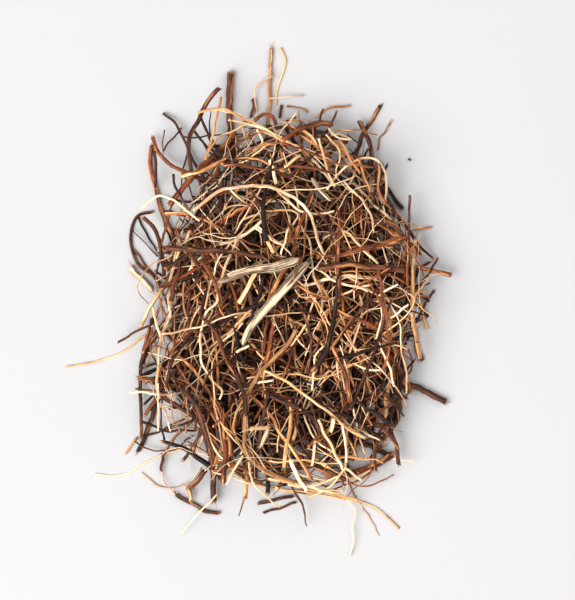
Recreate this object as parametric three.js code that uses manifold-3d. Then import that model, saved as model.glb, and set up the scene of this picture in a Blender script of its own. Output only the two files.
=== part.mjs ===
// A heap of dried, cut maral root: wiry roots and their rootlets, lying tangled on a flat surface.
// Millimetres, +Z up. The origin is the middle of the heap's underside, and +Y is its long way.
import * as THREE from "three";
import { mergeVertices } from "three/addons/utils/BufferGeometryUtils.js";
import Module from "manifold-3d";

const wasm = await Module();
wasm.setup();

// Driving dimensions
const MM_PER_PIXEL = 0.42; // a pixel of the photograph, at the heap
const MIDDLE_PIXEL = [257.91, 302.1]; // the pixel over the origin
const HEAP_MIDDLE = [11, 0]; // middle of the outline that rootlets keep within
const HEAP_HALF = [57, 82]; // half width and half length of that outline
const CHOICES = 6; // rootlets tried for each one that is kept
const MOST_BEND = 0.42; // how far a rootlet turns from one section to the next, both ways together
const GAP = 1.1; // clear space between two roots, which finer hairs hold apart
const CELL = 0.5; // side of a cell of the height map
const FIELD = 260; // side of the square that the height map covers
const EDGE = 0.35; // how far past its radius a root is felt in the height map
const TILT_ALLOWANCE = 1.1; // a sloping root is a little taller than its width
const SAMPLE_STEP = 0.6; // spacing of the places where a root's height is tested
const SAG = 0.003; // how fast a root curves down beside a support, per mm
const STEEPEST = 0.6; // steepest slope of a root that leans on others
const RING_PITCH = 7; // length of root between two sections
const ROOTLET_PITCH = 6.5; // length of rootlet between two sections
const ROOTLET_LENGTH = [18, 50]; // shortest and longest rootlet
const ROOTLET_RADIUS = [0.46, 0.72]; // thinnest and thickest rootlet, at its foot
const ROOTLET_TAPER = 0.62; // tip radius over foot radius
const LEAVING_ANGLE = [0.35, 1.1]; // angle between a rootlet and its main root, in radians
const BACKWARDS = 0.4; // share of the rootlets that run back along the main root
const SLIMMER = 0.8; // thickest that a rootlet is, over its main root
const UNEVEN_BEND = 0.3; // how much the turns of a rootlet differ
const THICK = 2.2; // width of a root from which it has six sides and not five
const LEAST_LIFT = 1e-9; // a shortfall in height below this is only rounding
const WELD = 1e-4; // distance below which two corners are one
const LUMPINESS = 0.14; // how much a root's upper side shrinks in places
const CUT_SLANT = 0.55; // how far a cut end leans, in radii

// Dried bark and bare wood, by how the roots look
const BARK = {
  pale: { color: 0xe6cf9f, roughness: 0.7 },
  straw: { color: 0xcfa75f, roughness: 0.68 },
  tan: { color: 0xa9794a, roughness: 0.74 },
  brown: { color: 0x74442b, roughness: 0.78 },
  dark: { color: 0x3d2820, roughness: 0.82 },
  grey: { color: 0xb6a48c, roughness: 0.8 },
};

// The roots in the order they were laid, lowest first. Each has its name, bark, thickness at both
// ends in mm, how many rootlets grow from it, and the places it passes, as pixels of the photograph.
const ROOTS = [
  ["core_root", "dark", [3.4, 3.0], 0, [[236, 262], [247, 290], [252, 318], [262, 345], [268, 372]]],
  ["stray_root_left", "straw", [0.9, 1.2], 0,
    [[63.8, 367.5], [75.3, 365.6], [98, 361.4], [121, 353], [140, 338], [170, 329]]],
  ["loose_stick_foot", "dark", [1.7, 1.5], 0, [[175.3, 496], [185, 502], [202.8, 512], [219, 514.6]]],
  ["foot_root_right", "dark", [2.2, 2.6], 4,
    [[352, 374], [374, 378], [396.5, 382], [415.6, 387], [438, 398], [447, 403]]],
  ["straw_root_foot", "straw", [1.6, 0.9], 5,
    [[228, 470], [250, 483], [288, 492.5], [319, 493], [342, 498.6], [365, 504.7], [380, 512],
      [400, 530.7]]],
  ["fibre_foot", "pale", [0.9, 0.7], 0, [[338, 488], [357, 517], [351.8, 531], [354, 540], [351, 558]]],
  ["fibre_left", "pale", [0.8, 0.9], 0,
    [[93, 475.6], [106, 477], [121, 475.6], [136.5, 469.5], [158, 457], [190, 447]]],
  ["dark_root_left_foot", "dark", [1.9, 1.7], 2,
    [[160, 372], [155.5, 395], [153.5, 406], [150.5, 420], [146, 433], [141.4, 443.4], [136.5, 452.6]]],
  ["dark_root_left", "dark", [2.0, 1.5], 4,
    [[152, 318], [148.8, 330], [142.3, 355], [140, 367], [139.6, 395], [140.3, 420], [141, 439.4]]],
  ["hoop_root_left", "dark", [1.2, 1.3], 2,
    [[152, 211], [139, 213.6], [131.5, 225], [130, 236.5], [130.7, 250], [135.3, 261.8], [144.5, 270],
      [160, 284]]],
  ["brown_root_upper_left", "brown", [1.6, 1.9], 4,
    [[150.6, 144], [149.5, 160], [151, 176], [155, 191], [160, 206], [164, 219], [170, 232], [176, 242]]],
  ["thick_root_top", "dark", [2.8, 2.5], 2,
    [[230.5, 70.7], [229.3, 95], [228.4, 118], [231.5, 128], [231.5, 138], [236, 176]]],
  ["straw_root_top", "straw", [1.9, 1.8], 0,
    [[270.9, 47], [270.5, 63], [269.7, 78], [269, 109], [264, 150]]],
  ["straw_twig_top", "straw", [1.0, 1.1], 0,
    [[280.4, 46], [285.8, 62], [281, 74.4], [276.6, 86], [276, 104]]],
  ["dark_root_upper_right", "dark", [1.5, 1.6], 2,
    [[381, 104.5], [375.8, 114.4], [366.6, 129], [362, 135], [357.4, 150], [352, 184]]],
  ["dark_twig_upper_left", "dark", [1.1, 1.3], 2,
    [[162, 112], [172, 118], [178, 129], [183.5, 141], [191, 155.6], [203, 176]]],
  ["brown_bend_upper_left", "brown", [1.7, 1.7], 4,
    [[151.4, 135.4], [153.7, 144], [160.6, 155.6], [173.6, 166], [189, 174], [214, 181]]],
  ["thick_root_lower_left", "dark", [2.9, 2.6], 4,
    [[179, 393], [189, 403], [195, 412], [200, 423.5], [205.7, 436.5], [210.3, 452], [212, 470.6],
      [213.6, 503.5]]],
  ["core_root_right", "brown", [2.6, 2.3], 5,
    [[318, 236], [322, 268], [318, 300], [326, 332], [322, 366]]],
  ["core_root_foot", "brown", [2.8, 2.4], 5, [[262, 392], [276, 414], [296, 432], [322, 444], [350, 448]]],
  ["core_root_head", "brown", [2.4, 2.2], 5,
    [[214, 152], [238, 170], [270, 180], [300, 196], [322, 214]]],
  ["grey_root_left", "grey", [2.7, 2.4], 2,
    [[157, 249], [173.6, 249.5], [198, 250.5], [229, 253.5], [250, 253]]],
  ["brown_root_top", "brown", [2.1, 2.1], 5,
    [[332.5, 123.4], [311.8, 123.4], [295, 133.4], [266, 145], [256.7, 149.4], [243, 159.4]]],
  ["dark_root_right_shoulder", "dark", [2.1, 2.0], 5,
    [[359.7, 119.8], [366.6, 135], [369, 145], [372.7, 155], [377.3, 175.6], [381, 187], [378, 214]]],
  ["dark_root_right", "dark", [2.1, 1.0], 4,
    [[376, 190], [386.6, 201], [398.9, 216.6], [406.5, 225.8], [414, 236.5], [423.3, 248.8],
      [434.8, 258.7]]],
  ["brown_root_right", "brown", [1.9, 1.9], 4,
    [[350, 262], [380, 266], [409, 267], [429.5, 268.4], [437, 272], [452, 275]]],
  ["brown_root_right_foot", "brown", [2.9, 2.7], 4, [[394, 455], [373.6, 467], [353.7, 474], [326, 477]]],
  ["dark_root_right_foot", "dark", [2.0, 2.0], 4,
    [[392, 372], [395, 403], [398.8, 421], [385, 437], [373.6, 455.6]]],
  ["straw_stick_right_foot", "straw", [2.1, 2.0], 2, [[389, 384], [386.6, 396.7], [386, 434]]],
  ["straw_root_left", "straw", [2.1, 1.9], 4,
    [[175, 262], [166, 281], [157, 295], [150.5, 306], [145, 317], [140, 327]]],
  ["brown_root_left", "brown", [1.9, 1.8], 4,
    [[142.2, 216.6], [150.6, 225], [159.8, 239.6], [161.3, 252.6], [163.6, 279.4]]],
  ["brown_root_left_foot", "brown", [1.8, 1.3], 4,
    [[138.4, 378.4], [158.3, 381.4], [181, 387.5], [192.7, 393], [222, 404]]],
  ["brown_root_upper_middle", "brown", [2.5, 2.3], 4,
    [[235, 131], [227, 141], [219.5, 152], [206.5, 162], [193.5, 175.5], [187.3, 182],
      [176, 197.5], [169, 205]]],
  ["dark_peeled_root", "dark", [1.9, 1.7], 4,
    [[218.7, 88], [213, 96], [203, 108], [196.5, 123.5], [190.4, 135.7], [189, 149], [192, 178]]],
  ["grey_root_foot", "grey", [3.3, 3.0], 2, [[236.5, 441.5], [225, 455], [216.6, 470.6]]],
  ["tan_root_foot", "tan", [2.4, 2.0], 4, [[251, 446], [247, 473], [245, 498]]],
  ["tan_root_lower_middle", "tan", [2.1, 2.0], 4,
    [[297.3, 401], [298, 409], [295, 432], [291, 442], [284, 470]]],
  ["straw_root_lower_right", "straw", [2.1, 2.0], 4,
    [[344.5, 360], [345, 398], [346.8, 425], [346.8, 452], [344, 472]]],
  ["brown_root_middle_right", "brown", [1.3, 2.1], 4,
    [[311, 262], [333, 255.5], [349, 252], [363, 249], [384, 243.5], [399, 237]]],
  ["brown_root_middle", "brown", [2.5, 2.3], 4,
    [[305, 215], [302.6, 224], [298.8, 235], [295, 245.6], [287, 276],
    [262.8, 283.6], [246.8, 290.5]]],
  ["pale_column_left", "pale", [1.7, 1.7], 4,
    [[182.5, 230], [178.5, 242], [176.5, 253], [173, 268], [170.5, 282], [168.8, 300], [169.5, 318],
      [161.3, 336.5], [159.4, 348], [158.3, 363], [157, 382], [159.5, 399]]],
  ["tan_root_upper_middle", "tan", [2.0, 1.9], 4,
    [[278, 176], [290, 174], [303, 171], [318, 169], [332, 169.5]]],
  ["tan_root_centre", "tan", [1.5, 1.5], 4,
    [[275, 306.6], [287.3, 319.6], [308, 330], [327, 345.6], [337.8, 351.7], [362, 357]]],
  ["frayed_straw_root", "straw", [1.5, 2.1], 2,
    [[415.7, 239], [415, 252], [413.4, 263], [412.4, 283], [412.4, 310], [413.4, 325], [418, 348],
      [420.3, 358]]],
  ["pale_root_upper_right", "pale", [1.5, 1.3], 4,
    [[341.5, 174], [351.4, 180.7], [362, 190], [372, 203.6], [385, 214], [397, 226]]],
  ["grey_root_centre", "grey", [2.6, 2.3], 0, [[298.8, 260], [279.7, 270], [256.7, 270], [231.5, 277.5]]],
  ["pale_root_middle_right", "pale", [1.7, 1.6], 4,
    [[285, 289], [298, 286], [311, 283.5], [333, 278.5], [354, 275.5], [377, 279]]],
  ["pale_root_top", "pale", [1.3, 1.3], 4,
    [[243, 119.6], [258.3, 128], [278.2, 138.7], [296.5, 147.2], [313.4, 160.7], [318.7, 166],
      [334.5, 187]]],
  ["arched_root_right", "pale", [1.3, 1.3], 2,
    [[326.8, 190], [333, 181], [340.6, 171.8], [356, 160.3], [375, 160.3], [385, 172],
      [386.6, 190], [385, 203]]],
  ["pale_root_left_middle", "pale", [2.0, 1.3], 4,
    [[269, 215], [254.4, 228], [246.8, 233.4], [238.4, 238.7], [229, 242.6], [220, 244.5]]],
  ["pale_root_foot_right", "pale", [1.1, 1.1], 4,
    [[307, 396.6], [302.6, 406.6], [306.5, 425], [318.7, 441], [335, 454.5], [342.6, 470]]],
  ["wandering_root", "pale", [1.3, 1.2], 2,
    [[238, 238], [228.6, 260], [220, 283], [216.4, 303], [204, 318], [201, 341], [202.6, 366],
      [213.3, 381.4],
      [225.6, 393.7], [227, 397.5], [219.5, 399.4]]],
  ["forked_root_foot", "straw", [1.5, 1.4], 4,
    [[245, 397.4], [239, 407], [233, 422.6], [234.5, 432], [238.4, 442], [249, 459.4]]],
  ["long_bent_root", "straw", [2.1, 1.9], 2,
    [[296.5, 329.5], [285, 347.7], [276.6, 356], [258.3, 374.4], [249, 393.6], [247.5, 405], [244.5, 432],
      [246.8, 453], [256, 463], [282, 478], [297, 483]]],
  ["diagonal_root", "straw", [1.5, 1.4], 2,
    [[265, 370.6], [285, 380.6], [308, 396.6], [331, 414], [354.4, 432.7], [365, 437.7]]],
  ["grey_splinter", "grey", [3.1, 2.6], 0,
    [[308, 263], [300, 270.6], [289, 283], [278, 295], [259.8, 315], [246.8, 335], [243, 345]]],
  ["great_arched_root", "pale", [1.7, 1.6], 2,
    [[193.5, 211], [204, 203], [215.6, 194.4], [227, 189], [243, 186], [258, 186.7], [273.6, 189.7],
      [286.6, 193.6], [296.5, 199], [304, 206.6], [313.4, 225.7], [320, 247], [324, 254.8]]],
];

// A seeded source of even random numbers between 0 and 1.
function seeded(seed) {
  let state = seed >>> 0;
  return () => {
    state = (state + 0x6d2b79f5) >>> 0;
    let t = state;
    t = Math.imul(t ^ (t >>> 15), t | 1);
    t ^= t + Math.imul(t ^ (t >>> 7), t | 61);
    return ((t ^ (t >>> 14)) >>> 0) / 2 ** 32;
  };
}

const between = ([low, high], share) => low + (high - low) * share;

// The height map: how high the roots already laid reach over each cell of the surface.
const bed = {
  side: Math.round(FIELD / CELL),
  tops: new Float64Array(Math.round(FIELD / CELL) ** 2),

  // Visits each cell within a reach of a place.
  near(x, y, reach, visit) {
    const column = (x + FIELD / 2) / CELL;
    const row = (y + FIELD / 2) / CELL;
    const span = reach / CELL;
    for (let j = Math.floor(row - span); j <= row + span; j++)
      for (let i = Math.floor(column - span); i <= column + span; i++)
        if (Math.hypot(i + 0.5 - column, j + 0.5 - row) <= span) visit(j * this.side + i);
  },

  top(x, y, radius) {
    let highest = 0;
    this.near(x, y, radius + EDGE, (cell) => (highest = Math.max(highest, this.tops[cell])));
    return highest;
  },

  raise(x, y, radius, height) {
    this.near(x, y, radius + EDGE, (cell) => (this.tops[cell] = Math.max(this.tops[cell], height)));
  },
};

// How much lower than a support a root hangs at a distance from it: a curve, then a straight slope.
function fall(distance) {
  const bend = STEEPEST / (2 * SAG);
  return distance < bend ? SAG * distance ** 2 : SAG * bend ** 2 + STEEPEST * (distance - bend);
}

// The distance from a section's middle to the flat at its underside.
const undersideOf = (radius, sides) => radius * Math.cos(Math.PI / sides);

// The plan of a main root: stations along a smooth curve through its places.
function mainStrand(places, [startWidth, endWidth], thick) {
  const curve = new THREE.CatmullRomCurve3(
    places.map(([px, py]) => new THREE.Vector3(
      (px - MIDDLE_PIXEL[0]) * MM_PER_PIXEL, (MIDDLE_PIXEL[1] - py) * MM_PER_PIXEL, 0)),
  );
  const count = Math.max(3, Math.round(curve.getLength() / RING_PITCH));
  const stations = curve.getSpacedPoints(count);
  const radii = stations.map((_, i) => between([startWidth, endWidth], i / count) / 2);
  return { stations, radii, sides: thick ? 6 : 5, foot: 0 };
}

// The plan of one rootlet that leaves a main root at one of its stations and wanders off.
function wander(main, random) {
  const foot = 1 + Math.floor(random() * (main.stations.length - 2));
  const along = main.stations[foot + 1].clone().sub(main.stations[foot - 1]);
  const turn = (random() < 0.5 ? -1 : 1) * between(LEAVING_ANGLE, random());
  const backwards = random() < BACKWARDS ? Math.PI : 0;
  const count = Math.round(between(ROOTLET_LENGTH, random()) / ROOTLET_PITCH);
  const radius = Math.min(between(ROOTLET_RADIUS, random()), main.radii[foot] * SLIMMER);
  const bend = (random() - 0.5) * MOST_BEND;
  let heading = Math.atan2(along.y, along.x) + turn + backwards;
  const stations = [main.stations[foot].clone()];
  for (let i = 0; i < count; i++) {
    heading += bend + (random() - 0.5) * UNEVEN_BEND;
    const step = new THREE.Vector3(Math.cos(heading), Math.sin(heading), 0);
    stations.push(stations[i].clone().addScaledVector(step, ROOTLET_PITCH));
  }
  const radii = stations.map((_, i) => radius * between([1, ROOTLET_TAPER], i / count));
  return { stations, radii, sides: 3, foot };
}

// How many of a strand's stations lie outside the heap's outline.
function strays(strand) {
  return strand.stations.filter(({ x, y }) => (
    Math.hypot((x - HEAP_MIDDLE[0]) / HEAP_HALF[0], (y - HEAP_MIDDLE[1]) / HEAP_HALF[1]) > 1
  )).length;
}

// The rootlet that keeps within the heap best, of a few that could grow from a main root.
function rootletStrand(main, random) {
  const choices = Array.from({ length: CHOICES }, () => wander(main, random));
  return choices.reduce((best, next) => (strays(next) < strays(best) ? next : best));
}

// The places along a strand where its height is tested, each between two stations.
function samplesOf(strand) {
  const samples = [];
  let travelled = 0;
  for (let i = 1; i < strand.stations.length; i++) {
    const from = strand.stations[i - 1];
    const to = strand.stations[i];
    const length = Math.hypot(to.x - from.x, to.y - from.y);
    const steps = Math.ceil(length / SAMPLE_STEP);
    for (let k = 0; k <= steps; k++) {
      const share = k / steps;
      samples.push({
        strand, segment: i, share,
        x: between([from.x, to.x], share), y: between([from.y, to.y], share),
        radius: between([strand.radii[i - 1], strand.radii[i]], share),
        travelled: travelled + share * length,
      });
    }
    travelled += length;
  }
  return samples;
}

// The plan distance from a strand's first station to each of its stations.
function travelOf(strand) {
  const travel = [0];
  for (let i = 1; i < strand.stations.length; i++)
    travel.push(travel[i - 1] + strand.stations[i].distanceTo(strand.stations[i - 1]));
  return travel;
}

// Lays a root with its rootlets on the bed: every station rises to a smooth line over what is below.
function lay(strands) {
  const main = strands[0];
  const travels = strands.map(travelOf);
  const feet = strands.map((strand) => travels[0][strand.foot]);
  const samples = strands.flatMap(samplesOf);
  for (const sample of samples) {
    const top = bed.top(sample.x, sample.y, sample.radius);
    sample.rests = top > 0;
    sample.need = sample.rests
      ? top + GAP + sample.radius * TILT_ALLOWANCE
      : undersideOf(sample.radius, sample.strand.sides);
  }
  const apart = (sample, strand, travelled) => {
    if (sample.strand === strand) return Math.abs(sample.travelled - travelled);
    const [a, b] = [strands.indexOf(sample.strand), strands.indexOf(strand)];
    const near = sample.strand === main ? 0 : sample.travelled;
    const far = strand === main ? 0 : travelled;
    const onMain = Math.abs((a === 0 ? sample.travelled : feet[a]) - (b === 0 ? travelled : feet[b]));
    return near + far + onMain;
  };
  const heights = strands.map((strand, k) => strand.stations.map((_, i) => {
    let height = undersideOf(strand.radii[i], strand.sides);
    for (const sample of samples)
      if (sample.rests) height = Math.max(height, sample.need - fall(apart(sample, strand, travels[k][i])));
    return height;
  }));
  const shared = (k, i) => (k > 0 && i === 0 ? [0, strands[k].foot] : [k, i]);
  const heightAt = (k, i) => heights[shared(k, i)[0]][shared(k, i)[1]];
  const lift = (k, i, by) => (heights[shared(k, i)[0]][shared(k, i)[1]] += by);
  for (const sample of samples) {
    const k = strands.indexOf(sample.strand);
    const ends = [heightAt(k, sample.segment - 1), heightAt(k, sample.segment)];
    const short = sample.need - between(ends, sample.share);
    if (short > LEAST_LIFT) {
      lift(k, sample.segment - 1, short);
      lift(k, sample.segment, short);
    }
  }
  strands.forEach((strand, k) => strand.stations.forEach((station, i) => (station.z = heightAt(k, i))));
  for (const sample of samples) {
    const ends = [sample.segment - 1, sample.segment].map((i) => sample.strand.stations[i].z);
    const top = between(ends, sample.share) + sample.radius * TILT_ALLOWANCE;
    bed.raise(sample.x, sample.y, sample.radius, top);
  }
}

// A closed root: a cylinder bent along its stations, thinner here and there on its upper side. What
// would reach below the surface is pressed flat on it.
function rootGeometry(strand, random) {
  const { stations, radii, sides } = strand;
  const last = stations.length - 1;
  const turned = sides % 2 === 0 ? Math.PI / sides : 0;
  const geometry = new THREE.CylinderGeometry(1, 1, 1, sides, last, false, turned);
  const swell = stations.map(() => 1 - LUMPINESS * random());
  const slants = [0, last].map(() => CUT_SLANT * (random() - 0.5) * 2);
  const up = new THREE.Vector3(0, 0, 1);
  const position = geometry.attributes.position;
  for (let v = 0; v < position.count; v++) {
    const i = Math.round((0.5 - position.getY(v)) * last);
    const along = stations[Math.min(i + 1, last)].clone().sub(stations[Math.max(i - 1, 0)]).normalize();
    const across = up.clone().cross(along).normalize();
    const over = along.clone().cross(across);
    const x = position.getX(v) * radii[i];
    const z = position.getZ(v) * radii[i];
    const slant = i === 0 ? slants[0] : i === last ? slants[1] : 0;
    const place = stations[i].clone().addScaledVector(across, x * swell[i]);
    place.addScaledVector(over, z > 0 ? z * swell[i] : z).addScaledVector(along, x * slant);
    position.setXYZ(v, place.x, place.y, Math.max(place.z, 0));
  }
  return geometry;
}

// A closed geometry as a solid for joining.
function solidOf(geometry) {
  const bare = new THREE.BufferGeometry();
  bare.setAttribute("position", geometry.attributes.position);
  bare.setIndex(geometry.index);
  const merged = mergeVertices(bare, WELD);
  const vertProperties = merged.attributes.position.array;
  const triVerts = new Uint32Array(merged.index.array);
  return new wasm.Manifold(new wasm.Mesh({ numProp: 3, vertProperties, triVerts }));
}

// A root and its rootlets as one solid's geometry.
function joinedGeometry(strands, random) {
  const [first, ...rest] = strands.map((strand) => solidOf(rootGeometry(strand, random)));
  const joined = rest.reduce((whole, next) => whole.add(next), first);
  const largest = joined.decompose().reduce((a, b) => (b.volume() > a.volume() ? b : a));
  const { vertProperties, triVerts } = largest.getMesh();
  const geometry = new THREE.BufferGeometry();
  geometry.setAttribute("position", new THREE.BufferAttribute(vertProperties, 3));
  geometry.setIndex(new THREE.BufferAttribute(triVerts, 1));
  geometry.computeVertexNormals();
  return geometry;
}

const heap = new THREE.Group();
ROOTS.forEach(([name, bark, widths, rootlets, places], index) => {
  const random = seeded(index + 1);
  const main = mainStrand(places, widths, rootlets === 0 || widths[0] > THICK);
  const strands = [main];
  for (let k = 0; k < rootlets; k++) strands.push(rootletStrand(main, random));
  lay(strands);
  const material = new THREE.MeshStandardMaterial({ ...BARK[bark], metalness: 0, flatShading: true });
  const mesh = new THREE.Mesh(joinedGeometry(strands, random), material);
  mesh.name = name;
  heap.add(mesh);
});

export default heap;
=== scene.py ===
"""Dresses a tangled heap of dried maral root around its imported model.

Every root of the model is laid again by the same rule, which gives each station's height, and gets a
fine surface of bark in place of its plain tube. Thinner rootlets, hairs and frayed ends fill the heap.
"""

from __future__ import annotations

import logging
import math
from collections import deque
from dataclasses import dataclass, field
from enum import Enum
from typing import Dict, List, Sequence, Tuple, Union

import bpy
import numpy as np
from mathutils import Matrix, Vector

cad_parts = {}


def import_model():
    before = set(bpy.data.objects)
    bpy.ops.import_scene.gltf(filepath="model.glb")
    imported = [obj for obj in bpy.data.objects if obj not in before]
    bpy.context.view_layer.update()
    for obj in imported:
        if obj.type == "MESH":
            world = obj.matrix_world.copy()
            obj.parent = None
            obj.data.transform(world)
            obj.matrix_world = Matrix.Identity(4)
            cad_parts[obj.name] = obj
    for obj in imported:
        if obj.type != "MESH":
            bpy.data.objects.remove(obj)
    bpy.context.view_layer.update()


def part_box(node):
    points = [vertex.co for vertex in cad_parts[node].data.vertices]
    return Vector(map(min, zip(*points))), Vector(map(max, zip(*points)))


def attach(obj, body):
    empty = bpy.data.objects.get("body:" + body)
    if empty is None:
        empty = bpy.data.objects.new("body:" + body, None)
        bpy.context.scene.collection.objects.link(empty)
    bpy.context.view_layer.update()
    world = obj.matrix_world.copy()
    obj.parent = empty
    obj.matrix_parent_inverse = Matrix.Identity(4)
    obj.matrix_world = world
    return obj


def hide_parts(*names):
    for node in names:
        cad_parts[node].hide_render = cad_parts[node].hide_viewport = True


LOG = logging.getLogger("maral_root")

Place = Tuple[float, float]
Colour = Tuple[float, float, float]

# The photograph's frame and scale
FRAME_PIXELS = (575, 600)
MM_PER_PIXEL = 0.42
MIDDLE_PIXEL = (257.91, 302.1)
METRES = 0.001

# The laying rule, in millimetres, as in the model
HEAP_MIDDLE, HEAP_HALF = (11.0, 0.0), (57.0, 82.0)  # the ellipse that rootlets keep within
CELL, FIELD = 0.5, 260.0  # of the height map: its cells and its side
EDGE = 0.35  # added to a radius on the height map
TILT_ALLOWANCE = 1.1  # a sloping root's height over its radius
SAMPLE_STEP = 0.6  # between the places along a root that are compared with the height map
GAP = 1.1  # left between two roots that cross
SAG, STEEPEST = 0.003, 0.6  # how fast a root bends down past what holds it, and its steepest slope
LEAST_LIFT = 1e-9
RING_PITCH, ROOTLET_PITCH = 7.0, 6.5  # between the stations of a thick root and of a rootlet
THICK = 2.2  # the width from which a root has six sides
CHOICES = 6  # rootlets tried for each one kept
LEAVING_ANGLE = (0.35, 1.1)  # in radians
BACKWARDS = 0.4  # the share that leaves backwards
MOST_BEND, UNEVEN_BEND = 0.42, 0.3  # a rootlet's steady bend at a station and chance's part, in radians
ROOTLET_LENGTH = (18.0, 50.0)
ROOTLET_RADIUS = (0.46, 0.72)
SLIMMER = 0.8  # the widest rootlet over its root
ROOTLET_TAPER = 0.62
HEIGHT_TOLERANCE = 0.8  # how far a top laid here may be off its node's

# How the thinner roots lie, in millimetres
LOW_DEPTH, TOP_DEPTH = 0.7, 0.97  # where in the heap's depth the two lots of traced ones rest
TRACED_WIDTH = 0.84  # over the width traced, which the photograph's blur widens
TRACED_LOFT = 0.5  # how far a traced one is held above what it crosses
LOFT_RANGE = (0.1, 1.6)  # chance's part in that
LIMPNESS = 3.0  # how much more steeply than the model's they hang
LEAN_STEP = 1.2  # between the places they rest at
STRAND_STEP = 5.0  # between their stations
LEAST_STEPS = 4
HAIR = 0.3  # the radius below which a root is a hair
HEADING_SCATTER = 0.8  # in radians
STEADY_BEND = 0.6  # the steady part of a strewn one's curl

# Vertices round a root, how far it wobbles off its line in millimetres, and where chance starts
MAIN_SIDES, TRACED_SIDES, THIN_SIDES, HAIR_SIDES = 12, 9, 7, 5
MAIN_BENT, ROOTLET_BENT, THIN_BENT = 0.22, 0.35, 0.3
ROOT_SEED, STREWN_SEED, TRACED_SEED = 1000, 500, 900

# The shape of a root's surface, in shares of its radius where no unit is given
DRESSED_WIDTH = (0.98, 0.72)  # a rootlet's width over its model's, at foot and tip
PALE_WIDTH = 0.8  # a pale or straw root's width over its model's
SUNK = 0.95  # the least height of its middle line
LEAST_RINGS = 6
ROUND = 6.3  # about one turn, in radians
TWIST = 0.08  # the most that its ridges turn, in radians a millimetre
RIDGES = (0.6, 0.8)  # how high three and two ridges round it are, times the gnarl
WRINKLES = ((2.1, 0.3), (0.9, 0.5))  # radians a millimetre and height of the fine and the broad ones
PITTING = 0.45  # chance's part
CUT_SLANT = 0.5
RIM, HOLLOW = 0.72, 0.12  # of a cut end
MAP_LENGTH = 10.0  # millimetres of root that the strand map counts as 1
WORN_END = 0.9  # millimetres that bare wood reaches from a cut end
TRACED_YOUTH = 0.45  # the least tint of a traced root
WAVES = (23.0, 11.0, 6.0)  # the lengths of its wobbles, in millimetres
UPWARDS = 0.4  # how much of a wobble goes up and down
FADE, PAST_END = 6.0, 1.02  # how fast wobbles fade in, and out

# A flat splinter: its width and height over a round root's, its ends, and how ridged and smooth it is
SPLIT_WIDTH, SPLIT_HEIGHT = 1.22, 0.42
SPLIT_END, SPLIT_POINT = 0.5, 6.0
SPLIT_RIDGES, SPLIT_WRINKLES, SPLIT_PITTING, SPLIT_BENT = 3.0, 0.3, 0.5, 0.2

# The torn fibres at the ends of a thick root, in millimetres where no share is named
FRAYED_WIDTH = 1.5
WOOD_REACH, BARK_REACH = 4.2, 2.2
FIBRES = (2, 7)
FIBRE_STEPS, FIBRE_SIDES, FIBRE_GNARL = 5, 4, 0.02
FIBRE_FOOT, FIBRE_ROOTED = 0.4, 0.6  # how far off the middle they start, in radii, and how far in
FIBRE_AIM, FIBRE_BEND = 0.2, 0.25
FIBRE_LENGTH = (0.3, 1.0)  # in shares of the reach
FIBRE_RADIUS, FIBRE_TIP = (0.07, 0.17), 0.4

# Painted shade: how much darker a root is painted under the heap's canopy, by millimetres under it
CANOPY_CELLS = 17  # the cells that the canopy is smoothed over
FREE_DEPTH, FULL_DEPTH = -8.0, 0.5
DENSE = 13.0  # DENSE = 13.0 # the height from which the heap is dense enough for the full painted shade
PAINTED_SHADE = 0.95  # PAINTED_SHADE = 0.95 # how much darker a root is painted there, as painted shade inside the heap


class Bark(Enum):
    """The six looks of a dried root."""

    PALE = "pale_root"
    STRAW = "straw_root"
    TAN = "tan_root"
    BROWN = "brown_root"
    DARK = "dark_root"
    GREY = "grey_root"


@dataclass(frozen=True)
class Root:
    """A root of the model: its node, bark, thickness at both ends, rootlets and route in pixels."""

    name: str
    bark: Bark
    widths: Tuple[float, float]
    rootlets: int
    places: Sequence[Place]


PALE, STRAW, TAN, BROWN, DARK, GREY = Bark

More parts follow.
